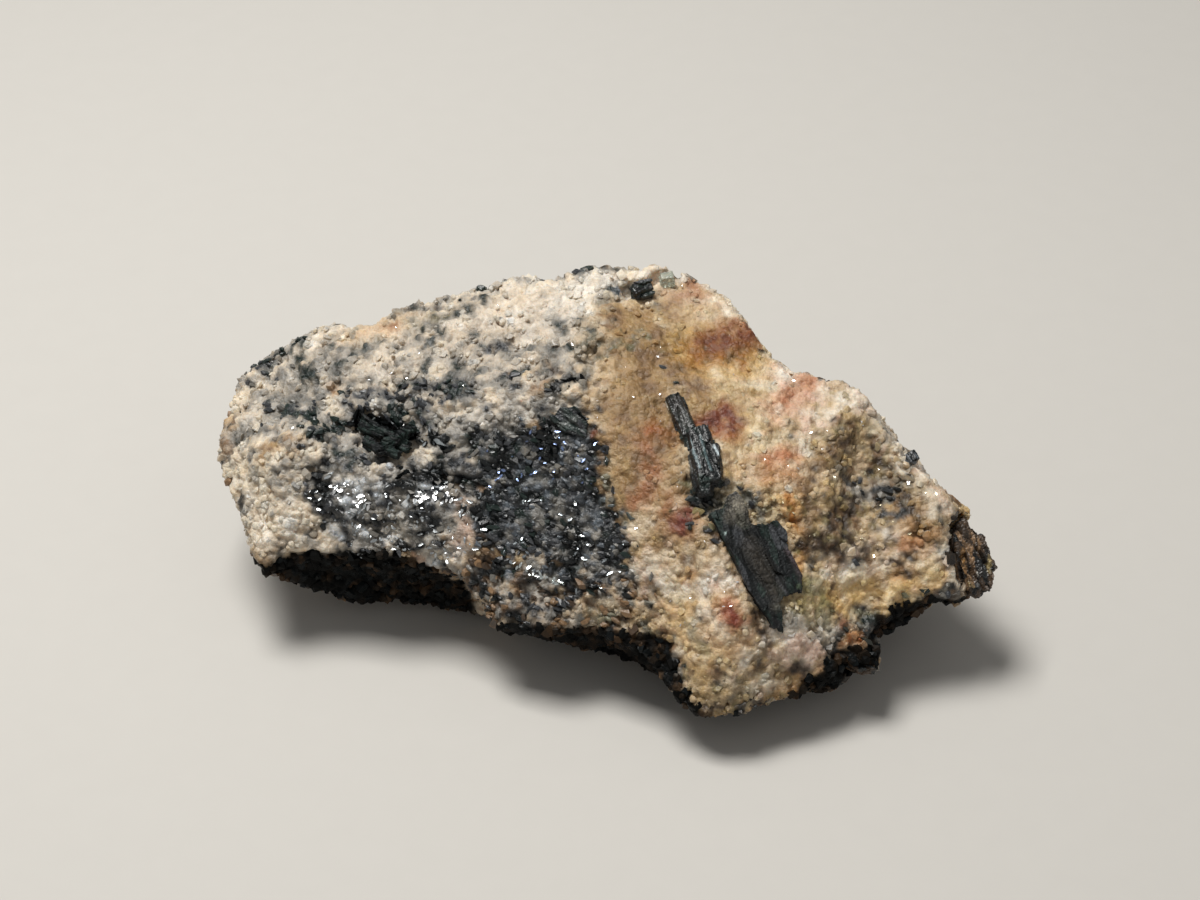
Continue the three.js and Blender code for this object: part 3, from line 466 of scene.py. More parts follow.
CRYSTALS = (
    ("dark_prism", 0.035, (0.25, -0.9, -0.35), 0.07, 0.13, 0.045, 0.4,
     ("black", "green black", "black"), 0.3, 0.6, PRISM_MARKS),
    ("dark_blade", 0.045, (0.5, -0.65, -0.57), 0.07, 0.13, 0.03, 0.4,
     ("green black", "black", "charcoal", "black"), 0.55, 0.35, BLADE_MARKS),
    ("lens_crystal", 0.035, (0.8, -0.5, -0.2), 0.07, 0.12, 0.06, 0.3,
     ("green black", "black", "charcoal"), 0.35, 0.6, LENS_MARKS),
    ("hollow_crystals", 0.035, (0.8, -0.5, 0.0), 0.08, 0.12, 0.06, 0.25,
     ("black", "green black"), 0.5, 0.3, ()),
    ("rim_crystal", 0.035, (1.0, 0.2, 0.0), 0.06, 0.12, 0.06, 0.3,
     ("black", "charcoal", "green black"), 0.3, 0.7, ()),
    ("edge_crystal", 0.035, (0.4, -0.8, -0.3), 0.04, 0.12, 0.03, 0.25,
     ("black", "steel"), 0.3, 0.7, ()),
    ("lower_plate", 0.035, (0.8, -0.5, 0.0), 0.05, 0.12, 0.04, 0.3,
     ("black", "umber"), 0.4, 0.5, ()),
)
TIP = (
    "tip_mica", 0.045, (0.25, -0.5, -0.8), 0.12, 0.16, 0.13, 0.4,
    ("umber", "umber", "black", "brown", "soot", "umber"), 0.36, 0.6, TIP_MARKS,
)
RIM_GRAIN = ("rim_grain", 0.035, (0.6, 0.6, 0.3), 0.03, 0.3, 0.04, 0.3, ("ash",), 0.2, 0.5, ())

# How far a grown copy of each crystal sinks to fill its socket, in millimetres

FILLS = {
    "dark_prism": (0.0, 0.3, -0.66),
    "dark_blade": (0.0, 0.3, -0.48),
    "lens_crystal": (0.0, 0.2, -0.38),
    "hollow_crystals": (0.0, 0.3, -0.75),
    "rim_crystal": (0.0, -0.3, -0.85),
    "rim_grain": (0.0, -0.3, -0.8),
    "edge_crystal": (-0.5, 0.0, -0.5),
    "tip_mica": (-0.8, 0.2, -0.2),
    "lower_plate": (-0.1, 0.35, 0.15),
}

# Light and floor

KEY_PLACE = Vector((-38, 18, 147)) * MM
KEY_SIZE = 60 * MM
KEY_COLOUR = (1.0, 0.985, 0.96)
FILL_PLACE = Vector((60, -120, 90)) * MM
FILL_SIZE = 200 * MM
FILL_COLOUR = (0.98, 0.99, 1.0)
ROOM_COLOUR = (1.0, 0.99, 0.97, 1)
ROOM_LIGHT = 0.22
FLOOR_SIZE = 0.9
FLOOR_COLOUR = "#c6c3bd"


def linear(text):
    """A #rrggbb colour as linear red, green and blue."""
    parts = [int(text[i:i + 2], 16) / 255 for i in (1, 3, 5)]
    return tuple(c / 12.92 if c <= 0.04045 else ((c + 0.055) / 1.055) ** 2.4 for c in parts)


# Working with objects

def only(*objects):
    """Selects these objects and nothing else, with the first one active."""
    for other in bpy.context.view_layer.objects:
        other.select_set(False)
    for thing in objects:
        thing.select_set(True)
    bpy.context.view_layer.objects.active = objects[0]


def copy_of(node, name):
    """An own copy of a CAD node, with its loose triangles merged into one surface."""
    source = frame["nodes"][node]
    mesh = source.data.copy()
    mesh.transform(source.matrix_world)
    piece = bpy.data.objects.new(name, mesh)
    bpy.context.scene.collection.objects.link(piece)
    mesh.materials.clear()
    only(piece)
    bpy.ops.object.mode_set(mode="EDIT")
    bpy.ops.mesh.select_all(action="SELECT")
    bpy.ops.mesh.remove_doubles(threshold=0.002 * MM)
    bpy.ops.object.mode_set(mode="OBJECT")
    return piece


def fattened(piece, distance):
    """Moves every point of a piece out along its normal."""
    only(piece)
    bpy.ops.object.mode_set(mode="EDIT")
    bpy.ops.mesh.select_all(action="SELECT")
    bpy.ops.transform.shrink_fatten(value=distance)
    bpy.ops.object.mode_set(mode="OBJECT")


def moved(piece, step):
    """Moves a piece's mesh and leaves its object at the origin."""
    piece.data.transform(Matrix.Translation(step))


def remeshed(piece, voxel, smoothing):
    """Turns a piece into one even skin of small squares, smoothed a few times over."""
    only(piece)
    skin = piece.modifiers.new("skin", "REMESH")
    skin.mode = "VOXEL"
    skin.voxel_size = voxel
    bpy.ops.object.modifier_apply(modifier=skin.name)
    soft = piece.modifiers.new("soft", "SMOOTH")
    soft.factor = 0.5
    soft.iterations = smoothing
    bpy.ops.object.modifier_apply(modifier=soft.name)


def thin_out(piece, spare):
    """Merges faces of a piece of squares, at first round the spare points, until MOST_TRIANGLES are left."""
    group = piece.vertex_groups.new(name="spare")
    group.add(np.nonzero(spare)[0].tolist(), 1.0, "REPLACE")
    only(piece)
    thin = piece.modifiers.new("thin", "DECIMATE")
    thin.ratio = min(1.0, MOST_TRIANGLES / (2 * len(piece.data.polygons)))
    thin.vertex_group = group.name
    thin.vertex_group_factor = KEPT_DETAIL
    bpy.ops.object.modifier_apply(modifier=thin.name)


def points_of(mesh):
    """A mesh's points as rows."""
    flat = np.empty(len(mesh.vertices) * 3)
    mesh.vertices.foreach_get("co", flat)
    return flat.reshape(-1, 3)


def normals_of(mesh):
    """A mesh's point normals as rows."""
    flat = np.empty(len(mesh.vertices) * 3)
    mesh.vertices.foreach_get("normal", flat)
    return flat.reshape(-1, 3)


def set_points(mesh, points):
    """Puts a mesh's points in new places."""
    mesh.vertices.foreach_set("co", points.astype(np.float32).ravel())
    mesh.update()


def set_tint(mesh, tint, gloss):
    """Gives each point of a mesh its colour and its roughness."""
    colour = mesh.attributes.new("tint", "FLOAT_COLOR", "POINT")
    colour.data.foreach_set("color", np.c_[tint, np.ones(len(tint))].astype(np.float32).ravel())
    finish = mesh.attributes.new("gloss", "FLOAT", "POINT")
    finish.data.foreach_set("value", np.asarray(gloss, dtype=np.float32))


# Reading places off the photograph

class Sight:
    """The camera's eye and axes, and the stone that its rays meet."""

    def __init__(self):
        back = Vector((0, -math.cos(CAMERA_ELEVATION), math.sin(CAMERA_ELEVATION)))
        self.eye = CAMERA_TARGET + back * CAMERA_DISTANCE
        self.forward = -back
        self.right = Vector((1, 0, 0))
        self.up = self.right.cross(self.forward)
        self.stone = None

    def look_at(self, piece):
        """Chooses the piece that the rays meet."""
        self.stone = BVHTree.FromObject(piece, bpy.context.evaluated_depsgraph_get())

    def carried(self, pixel):
        """The place on the stone that a pixel of the photograph shows, or else the nearest one."""
        scale = LENS / SENSOR * PHOTO_WIDTH
        across = (pixel[0] - PHOTO_WIDTH / 2) / scale
        above = (PHOTO_HEIGHT / 2 - pixel[1]) / scale
        ray = (self.forward + self.right * across + self.up * above).normalized()
        place = self.stone.ray_cast(self.eye, ray)[0]
        if place is None:
            place = self.stone.find_nearest(self.eye + ray * CAMERA_DISTANCE)[0]
        return place

    def pixels_of(self, points):
        """Where points show in the photograph, as rows of two numbers."""
        away = points - np.array(self.eye)
        scale = LENS / SENSOR * PHOTO_WIDTH / (away @ np.array(self.forward))
        across = PHOTO_WIDTH / 2 + away @ np.array(self.right) * scale
        return np.c_[across, PHOTO_HEIGHT / 2 - away @ np.array(self.up) * scale]

    def below_brow(self, points):
        """Which points show below the lower edge of the lit rock, where the stone is painted dark as shade.
        """
        across, down = self.pixels_of(points).T
        xs, ys = zip(*BROW)
        return down > np.interp(across, xs, ys) + BROW_WOBBLE * wobble(points, 0.3 * MM, 9.0)


SIGHT = Sight()


def facing(points, normals):
    """How much each point faces the camera: 1 head on, 0 side on and -1 turned away."""
    towards = np.array(SIGHT.eye) - points
    towards /= np.linalg.norm(towards, axis=1, keepdims=True)
    return np.einsum("ij,ij->i", towards, normals)


def turned_away(points, normals):
    """From 0 for points that face the camera, or nearly, to 1 for those turned well away from it."""
    return np.clip(-3 * facing(points, normals) - 0.6, 0, 1)


def distance_to_path(points, path):
    """How far each point is from a path that runs through places on the stone."""
    nearest = np.full(len(points), np.inf)
    for start, end in zip(path, path[1:]):
        a = np.array(start)
        along = np.array(end) - a
        share = np.clip((points - a) @ along / max(along @ along, 1e-18), 0, 1)
        nearest = np.minimum(nearest, np.linalg.norm(points - a - share[:, None] * along, axis=1))
    return nearest


# Seeded noise over the stone

WAVES_SEED = 391  # the one that moves the marks least from their places


def wobble(points, size, offset):
    """Smooth noise about 0, with features of the given size, for each point."""
    shift = Vector((offset, offset * 0.37, -offset))
    return np.array([noise.noise(Vector(p) / size + shift) for p in points])


def wander(points, size, reach):
    """Each point moved a little, by noise with features of the given size."""
    noise.seed_set(WAVES_SEED)  # noise_vector takes its offsets from this seed, or else from the clock
    return points + reach * np.array([noise.noise_vector(Vector(p) / size) for p in points])


def ranked(values):
    """The values spread evenly from 0 to 1 in the same order."""
    order = np.empty(len(values))
    order[np.argsort(values)] = np.arange(len(values))
    return (order + 0.5) / len(values)


def thinned(points, spacing):
    """The numbers of points picked so that each cell of the given size has one."""
    cells = np.floor(points / spacing).astype(np.int64)
    return np.unique(cells, axis=0, return_index=True)[1]


def tree_of(points):
    """A tree for finding the nearest of the points."""
    tree = KDTree(len(points))
    for i, p in enumerate(points):
        tree.insert(p, i)
    tree.balance()
    return tree


def split(points, spacing, seed):
    """Splits points into cells of about the given size: their centres, and each point's cell and inset."""
    rng = np.random.default_rng(seed)
    shuffled = rng.permutation(len(points))
    sites = points[shuffled[thinned(points[shuffled], spacing)]]
    tree = tree_of(sites)
    found = [tree.find_n(p, 2) for p in points]
    cell = np.array([near[0][1] for near in found])
    inset = np.array([near[1][2] - near[0][2] for near in found])
    return sites, cell, inset


def facets(points, spacing, lift, slope, crease, seed):
    """Heights of a relief of flat broken facets, each lifted and tilted its own way, with creases between."""
    sites, cell, inset = split(points, spacing, seed)
    rng = np.random.default_rng(seed + 100)
    lifts = rng.uniform(-lift, lift, len(sites))
    tilts = rng.normal(0, slope, (len(sites), 3))
    tilt = np.einsum("ij,ij->i", tilts[cell], points - sites[cell])
    return lifts[cell] + tilt - crease * np.exp(-((inset / (0.25 * spacing)) ** 2))


def layered(points, layers, strength):
    """Heights of several layers of facets together, each as tall as the strength says."""
    return sum(
        strength * facets(points, size * MM, lift * MM, slope, crease * MM, seed)
        for size, lift, slope, crease, seed in layers)


# The survey: spots all over the stone, each with its rock, its mineral, its stains and its colour

class Survey:
    """What the stone is made of at many places, for the skin and for the grains on it."""

    def __init__(self):
        self.points = None  # where each spot is, once the stone is surveyed
        self.normals = None  # the way out of the stone
        self.warped = None  # the spots moved about, so that areas have ragged edges
        self.tint = None  # linear colour
        self.gloss = None  # roughness of the finish
        self.relief = None  # roughness of the rock
        self.pale = None
        self.seen = None
        # spots in sight below the lit edge, whose colour is painted shade
        self.shaded = None
        self.sharp = None  # dark grains stand here
        self.clear = None  # clear of every crystal
        self.tree = None

    def take(self, mesh, stains):
        """Surveys the mesh at spots SEED_SPACING apart."""
        rng = np.random.default_rng(SURVEY_SEED)
        self.points, self.normals = strewn(mesh, SEED_SPACING, rng)
        self.warped = wander(wander(self.points, *BROAD_WAVES), *FINE_WAVES)
        self.seen = facing(self.points, self.normals) > SEEN_FROM
        at_front = self.normals[:, 1] < FRONT_UP_TO
        # The spots in sight below the lit edge are painted dark, as shade
        self.shaded = self.seen & SIGHT.below_brow(self.points) & at_front
        rock = self.rocks(rng)
        mineral = self.minerals(rock, rng)
        colours = np.array([linear(colour) for colour, _ in MINERALS.values()])
        rough = np.array([roughness for _, roughness in MINERALS.values()])
        tint = self.stained(colours[mineral], stains, rng)
        tint = tint * (1 + 0.1 * rng.standard_normal((len(tint), 1))).clip(0.6, 1.4)
        self.tree = tree_of(self.points)
        self.pale = tint.mean(axis=1) > PALE_FROM
        soft = self.blended(self.points, tint, 0.2 * MM)
        mixed = OWN_COLOUR * tint + NEIGHBOURS_COLOUR * soft
        self.tint = np.where(self.pale[:, None], mixed, tint).clip(0.002, 0.92)
        self.gloss = (rough[mineral] + 0.08 * rng.standard_normal(len(tint))).clip(0.12, 0.8)
        self.relief = np.array([ROCKS[name][0] for name in rock])
        self.sharp = np.isin(rock, SHARP_ROCKS)
        self.clear = clear_of_crystals(self.points)

    def away(self, radius, path):
        """How far each spot is from a path in pixels, as a share of a radius in millimetres."""
        return distance_to_path(self.warped, [SIGHT.carried(p) for p in path]) / (radius * MM)

    def rocks(self, rng):
        """The name of the rock at each spot."""
        count = len(self.points)
        rock = np.full(count, "hidden rock", dtype=object)
        broad = wobble(self.points, HIDDEN_PATCH, 2.2)
        rock[broad > 0.16] = "speckled"
        rock[broad < -0.2] = "ochre rock"
        # Faces that turn down get darker rock, as painted shade
        rock[self.normals[:, 2] + 0.25 * rng.random(count) < -0.1] = "downturned rock in painted shade"
        # Painted shade on the spots below the lit edge
        rock[self.shaded] = "rock in painted shade"
        for _, kind, radius, path in AREAS:
            inside = self.away(radius, path) < AREA_REACH - AREA_FRAY * rng.random(count)
            rock[inside & self.seen & ~self.shaded] = kind
        return rock.astype(str)

    def minerals(self, rock, rng):
        """The number of the mineral at each spot."""
        count = len(self.points)
        uneven = 0.7 * wobble(self.points, 1.1 * MM, 5.3) + wobble(self.points, 0.4 * MM, 3.1)
        lightness = ranked(uneven + 0.14 * rng.standard_normal(count))
        names = list(MINERALS)
        mineral = np.zeros(count, dtype=int)
        for name, (_, mix) in ROCKS.items():
            edges = np.cumsum(list(mix.values())) / sum(mix.values())
            chosen = np.searchsorted(edges, lightness, side="left").clip(0, len(mix) - 1)
            wanted = np.array([names.index(part) for part in mix])[chosen]
            mineral = np.where(rock == name, wanted, mineral)
        for _, kind, share, radius, path in FLECKS_AND_PAINTED_LIGHT:
            inside = (self.away(radius, path) < 1) & (rng.random(count) < share) & self.seen
            mineral[inside] = names.index(kind)
        return mineral

    def stained(self, tint, stains, rng):
        """The spots' colours with the stains, and the painted shade, shadow and glints among them, soaked in.
        A stain only darkens.
        """
        mottle = 0.95 + 1.1 * wobble(self.points, 0.36 * MM, 7.7) + 0.35 * rng.standard_normal(len(tint))
        mottle = mottle.clip(0.2, 1.15)
        # These include the marks of painted shade, shadow and glint
        for _, colour, strength, radius, path in STAINS_AND_PAINTED_LIGHT:
            reach = np.clip(STAIN_REACH - self.away(radius, path), 0, 1)
            amount = stains * strength * reach * np.where(self.seen, 1, STAIN_UNSEEN)
            amount *= mottle
            stain = np.maximum(linear(colour), DARKEST_STAIN)
            amount = amount[:, None].clip(0, 1)
            tint = np.minimum(tint, tint ** (1 - amount) * stain ** amount)
        return tint

    def blended(self, points, values, reach):
        """The survey's values at some points, each smoothed over the spots within about that reach."""
        found = [self.tree.find_n(p, 8) for p in points]
        spots = np.array([[hit[1] for hit in near] for near in found])
        weights = np.exp(-((np.array([[hit[2] for hit in near] for near in found]) / reach) ** 2))
        weights /= weights.sum(axis=1, keepdims=True)
        return np.einsum("nk,nk...->n...", weights, values[spots])

    def near(self, path, radius):
        """Which spots lie within a radius, in millimetres, of a path in pixels."""
        return distance_to_path(self.points, [SIGHT.carried(p) for p in path]) < radius * MM


SURVEY = Survey()


def clear_of_crystals(places):
    """Whether each place is clear of every crystal, so that a grain there doesn't bury it."""
    rings = []
    for node in FILLS:
        crystal = copy_of(node, "gauge")
        rings.append(BVHTree.FromObject(crystal, bpy.context.evaluated_depsgraph_get()))
        bpy.data.objects.remove(crystal)
    return np.array([all(r.find_nearest(p, CLEAR_OF_CRYSTALS)[0] is None for r in rings) for p in places])


def strewn(mesh, spacing, rng):
    """Places strewn over a mesh, one for each cell of the given size, and the way out of it at each."""
    mesh.calc_loop_triangles()
    corners = np.empty(len(mesh.loop_triangles) * 3, dtype=np.int64)
    mesh.loop_triangles.foreach_get("vertices", corners)
    corners = corners.reshape(-1, 3)
    points, normals = points_of(mesh), normals_of(mesh)
    a, b, c = (points[corners[:, k]] for k in range(3))
    area = np.linalg.norm(np.cross(b - a, c - a), axis=1) / 2
    count = int(3 * area.sum() / spacing ** 2)
    picked = rng.choice(len(corners), count, p=area / area.sum())
    u, v = rng.random((2, count))
    flip = u + v > 1
    u, v = np.where(flip, 1 - u, u)[:, None], np.where(flip, 1 - v, v)[:, None]
    places = a[picked] * (1 - u - v) + b[picked] * u + c[picked] * v
    outward = sum(normals[corners[picked, k]] * w for k, w in enumerate((1 - u - v, u, v)))
    outward /= np.linalg.norm(outward, axis=1, keepdims=True)
    kept = thinned(places, spacing)
    return places[kept], outward[kept]


# The skin of the stone

def filled_stone():
    """The stone as one even skin, with a grown copy of each crystal sunk into its socket."""
    skin = copy_of("matrix", "stone_skin")
    for node, sink in FILLS.items():
        plug = copy_of(node, "plug")
        fattened(plug, SOCKET_GAP + SOCKET_OVERLAP)
        moved(plug, Vector(sink) * MM)
        only(skin, plug)
        bpy.ops.object.join()
    remeshed(skin, VOXEL, SKIN_SMOOTHING)
    return skin


def build_skin(stains):
    """The stone's whole surface, with the sockets filled, broken facets and coloured grain."""
    skin = filled_stone()
    mesh = skin.data
    SIGHT.look_at(skin)
    points, normals = points_of(mesh), normals_of(mesh)
    SURVEY.take(mesh, stains)
    relief = SURVEY.blended(points, SURVEY.relief, 0.3 * MM)
    tint = SURVEY.blended(points, SURVEY.tint, 0.1 * MM)
    gloss = SURVEY.blended(points, SURVEY.gloss, 0.1 * MM)
    turned = turned_away(points, normals)
    above = np.clip((points[:, 2] - 0.15 * MM) / (0.5 * MM), 0, 1)
    height = layered(points, RELIEF, relief)
    height += turned * np.minimum(layered(points, CHIPS, 1.0) - FLUSH_CHIP, 0)
    points = points + normals * (above * height)[:, None]
    points[:, 2] = np.maximum(points[:, 2], 0)
    set_points(mesh, points)
    set_tint(mesh, tint, gloss)
    mesh.shade_smooth()
    mesh.materials.append(stone_material("stone_skin", cloud=0.5, shine=0.5))
    # A dull copy of the stone's material, with no light soaking in and little shine, for the faces in painted
    # shade below the lit edge
    mesh.materials.append(stone_material("stone_in_painted_shade", cloud=0.0, shine=0.08))
    corners = np.array([list(face.vertices) for face in mesh.polygons])
    shaded = SURVEY.blended(points, SURVEY.shaded, 0.15 * MM)[corners].mean(axis=1) > 0.5
    mesh.polygons.foreach_set("material_index", shaded.astype(np.int32))
    thin_out(skin, turned > SPARE_FROM)
    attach(skin, "root")
    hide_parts("matrix")


# Grains standing in the skin

SHAPE_SEED = 21
GRAIN_SHAPES = 6
GRAIN_CUT = 0.42  # how far from a grain's middle it is broken off


def grain_shapes():
    """A few worn crystal shapes about 1 across, each as points and triangles."""
    shapes = []
    rng = np.random.default_rng(SHAPE_SEED)
    for number in range(GRAIN_SHAPES):
        if number % 2:
            bpy.ops.mesh.primitive_ico_sphere_add(subdivisions=1, radius=0.6)
        else:
            bpy.ops.mesh.primitive_cube_add(size=0.95)
        grain = bpy.context.active_object
        bpy.ops.object.mode_set(mode="EDIT")
        bpy.ops.mesh.select_all(action="SELECT")
        bpy.ops.transform.vertex_random(offset=0.12, seed=number + 1, normal=0.2)
        for _ in range(2 if number % 2 else 4):
            way = rng.normal(size=3)
            way /= np.linalg.norm(way)
            bpy.ops.mesh.select_all(action="SELECT")
            bpy.ops.mesh.bisect(
                plane_co=tuple(way * GRAIN_CUT), plane_no=tuple(way), use_fill=True, clear_outer=True)
        bpy.ops.mesh.select_all(action="SELECT")
        bpy.ops.mesh.quads_convert_to_tris()
        bpy.ops.object.mode_set(mode="OBJECT")
        faces = np.array([list(face.vertices) for face in grain.data.polygons])
        shapes.append((points_of(grain.data), faces))
        bpy.data.objects.remove(grain)
    return shapes


def flake_shape():
    """A thin six-sided flake about 1 across, as points and triangles."""
    bpy.ops.mesh.primitive_cylinder_add(vertices=6, radius=0.5, depth=0.16)
    flake = bpy.context.active_object
    bpy.ops.object.mode_set(mode="EDIT")
    bpy.ops.mesh.select_all(action="SELECT")
    bpy.ops.transform.vertex_random(offset=0.05, seed=3)
    bpy.ops.mesh.quads_convert_to_tris(ngon_method="CLIP")
    bpy.ops.object.mode_set(mode="OBJECT")
    shape = points_of(flake.data), np.array([list(face.vertices) for face in flake.data.polygons])
    bpy.data.objects.remove(flake)
    return shape


def random_turns(rng, count):
    """Turns spread evenly over every way, as matrices."""
    q = rng.standard_normal((count, 4))
    w, x, y, z = (q / np.linalg.norm(q, axis=1, keepdims=True)).T
    rows = [
        [1 - 2 * (y * y + z * z), 2 * (x * y - z * w), 2 * (x * z + y * w)],
        [2 * (x * y + z * w), 1 - 2 * (x * x + z * z), 2 * (y * z - x * w)],
        [2 * (x * z - y * w), 2 * (y * z + x * w), 1 - 2 * (x * x + y * y)],
    ]
    return np.array(rows).transpose(2, 0, 1)


def lying_on(ways, flow, tilt, rng):
    """Axes for grains that lie across the ways: one near the flow, one beside it and one near the way."""
    up = ways + tilt * rng.standard_normal(ways.shape)
    up /= np.linalg.norm(up, axis=1, keepdims=True)
    along = np.array(flow) + 0.45 * rng.standard_normal(up.shape)
    along -= np.einsum("ij,ij->i", along, up)[:, None] * up
    along /= np.linalg.norm(along, axis=1, keepdims=True)
    return np.stack((along, np.cross(up, along), up), axis=2)


def strew(
        name, shapes, picked, size, form, sink, tilt, seed, material, flow=(0, 0, 0), lean=None, tint=None):
    """One mesh of grains, lying in the stone at the picked spots of the survey. form is their length, width
    and thickness as shares of the size, sink their depth as a share of it, and lean a way that they lean
    towards."""
    rng = np.random.default_rng(seed)
    count = len(picked)
    kinds = rng.integers(0, len(shapes), count)
    spins = random_turns(rng, count) if len(shapes) > 1 else np.tile(np.eye(3), (count, 1, 1))
    ways = SURVEY.normals[picked] if lean is None else 0.5 * SURVEY.normals[picked] + np.array(lean)
    axes = lying_on(ways, flow, tilt, rng)
    sizes = size * rng.uniform(0.5, 1.45, (count, 1)) * rng.uniform(0.75, 1.1, (count, 3)) * np.array(form)
    centres = SURVEY.points[picked] - SURVEY.normals[picked] * sink * size
    tints = SURVEY.tint[picked] if tint is None else tint
    points, faces, colours, glosses = [], [], [], []
    start = 0
    for kind, (shape, triangles) in enumerate(shapes):
        chosen = np.nonzero(kinds == kind)[0]
        local = np.einsum("nij,vj->nvi", spins[chosen], shape) * sizes[chosen][:, None]
        corners = np.einsum("nij,nvj->nvi", axes[chosen], local) + centres[chosen][:, None]
        corners[:, :, 2] += np.maximum(0, -corners[:, :, 2].min(axis=1))[:, None]
        number = len(shape)
        offsets = start + number * np.arange(len(chosen))
        points.append(corners.reshape(-1, 3))
        faces.append((triangles[None] + offsets[:, None, None]).reshape(-1, 3))
        colours.append(np.repeat(tints[chosen], number, axis=0))
        glosses.append(np.repeat(SURVEY.gloss[picked[chosen]], number))
        start += number * len(chosen)
    mesh = bpy.data.meshes.new(name)
    mesh.from_pydata(np.concatenate(points).tolist(), [], np.concatenate(faces).tolist())
    mesh.update()
    set_tint(mesh, np.concatenate(colours), np.concatenate(glosses))
    piece = bpy.data.objects.new(name, mesh)
    bpy.context.scene.collection.objects.link(piece)
    mesh.materials.append(material)
    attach(piece, "root")
    return piece


def picks(wanted, share, seed):
    """That share of the survey's spots for which wanted holds, or as many of them as one mesh can take."""
    rng = np.random.default_rng(seed)
    numbers = rng.permutation(np.nonzero(wanted)[0])
    return numbers[:min(int(share * len(numbers)), MOST_GRAINS)]


# Materials

class Nodes:
    """Builds one procedural material."""

    def __init__(self, name):
        self.material = bpy.data.materials.new(name)
        self.material.use_nodes = True
        self.tree = self.material.node_tree
        self.shader = self.tree.nodes["Principled BSDF"]
        self.place = self.add("ShaderNodeTexCoord").outputs["Object"]

    def add(self, kind, **settings):
        """A node of that kind, with its inputs and its other settings by name."""
        node = self.tree.nodes.new(kind)
        for key, value in settings.items():
            if key in node.inputs:
                self.put(value, node.inputs[key])
            else:
                setattr(node, key, value)
        return node

    def put(self, value, socket):
        """Links another node's output to a socket, or sets the socket's own value."""
        if isinstance(value, bpy.types.NodeSocket):
            self.tree.links.new(value, socket)
        else:
            socket.default_value = value

    def set(self, **sockets):
        """Sets the shader's sockets by name."""
        for key, value in sockets.items():
            self.put(value, self.shader.inputs[key.replace("_", " ").title().replace("Ior", "IOR")])

    def noise(self, size, detail=3.0, stretch=None):
        """Noise from 0 to 1 with features of the given size. stretch is a turn and a scale of the pattern."""
        vector = self.place
        if stretch is not None:
            turn, scale = stretch
            vector = self.add("ShaderNodeMapping", Vector=vector, Rotation=turn, Scale=scale).outputs[0]
        return self.add("ShaderNodeTexNoise", Vector=vector, Scale=1 / size, Detail=detail).outputs["Fac"]

    def cells(self, size):
        """The distance from the middle of a cell, for cells of the given size."""
        return self.add("ShaderNodeTexVoronoi", Vector=self.place, Scale=1 / size).outputs["Distance"]

    def ranged(self, value, low, high, start=0.0, end=1.0):
        """A number carried over from the range start to end to the range low to high."""
        node = self.add("ShaderNodeMapRange")
        for socket, number in zip(node.inputs, (value, start, end, low, high)):
            self.put(number, socket)
        return node.outputs["Result"]

    def maths(self, operation, a, b):
        """The result of one sum."""
        node = self.add("ShaderNodeMath", operation=operation)
        self.put(a, node.inputs[0])
        self.put(b, node.inputs[1])
        return node.outputs[0]

    def shaded(self, colour, factor):
        """A colour made darker or lighter by a number about 1."""
        node = self.add("ShaderNodeVectorMath", operation="SCALE")
        self.put(colour, node.inputs[0])
        self.put(factor, node.inputs["Scale"])
        return node.outputs[0]

    def bump(self, height, distance):
        """Fine relief of the given depth, drawn by the light alone."""
        node = self.add("ShaderNodeBump", Height=height, Distance=distance, Strength=1.0)
        self.put(node.outputs[0], self.shader.inputs["Normal"])

    def attribute(self, name, output):
        """What the mesh holds under that name at each point."""
        return self.add("ShaderNodeAttribute", attribute_name=name).outputs[output]


def stone_material(name, cloud, shine):
    """Rock of mixed small grains, its colour and roughness taken from the survey."""
    m = Nodes(name)
    fine = m.noise(0.08 * MM, 4)
    broad = m.noise(0.3 * MM, 3)
    value = m.maths("ADD", m.ranged(fine, 0.36, 0.6, 0.3, 0.7), m.ranged(broad, 0.44, 0.6, 0.3, 0.7))
    m.set(base_color=m.shaded(m.attribute("tint", "Color"), value))
    m.set(roughness=m.maths("ADD", m.attribute("gloss", "Fac"), m.ranged(fine, -0.14, 0.1)))
    m.set(subsurface_weight=cloud, subsurface_radius=(1.0, 0.8, 0.62), subsurface_scale=0.4 * MM)
    m.set(specular_ior_level=shine)
    sugar = m.maths("MULTIPLY", m.cells(0.24 * MM), -1.6)
    m.bump(m.maths("ADD", m.maths("ADD", fine, sugar), broad), 0.05 * MM)
    return m.material


def grain_material(name, cloud, shine):
    """Crystal grains with a glassy break. cloud is how much of the light soaks into them."""
    m = Nodes(name)
    fine = m.noise(0.07 * MM, 4)
    m.set(base_color=m.shaded(m.attribute("tint", "Color"), m.ranged(fine, 0.85, 1.15, 0.3, 0.7)))
    m.set(roughness=m.maths("ADD", m.attribute("gloss", "Fac"), m.ranged(fine, -0.16, 0.06)))
    m.set(subsurface_weight=cloud, subsurface_radius=(1.0, 0.86, 0.72), subsurface_scale=0.45 * MM)
    m.set(specular_ior_level=shine)
    m.bump(fine, 0.02 * MM)
    return m.material


def glint_material(name):
    """Mica flakes that shine like metal."""
    m = Nodes(name)
    fine = m.noise(0.1 * MM, 2)
    m.set(base_color=m.shaded(m.attribute("tint", "Color"), m.ranged(fine, 0.85, 1.1, 0.3, 0.7)))
    m.set(metallic=0.8)
    m.set(roughness=m.ranged(fine, 0.1, 0.3, 0.3, 0.7))
    return m.material


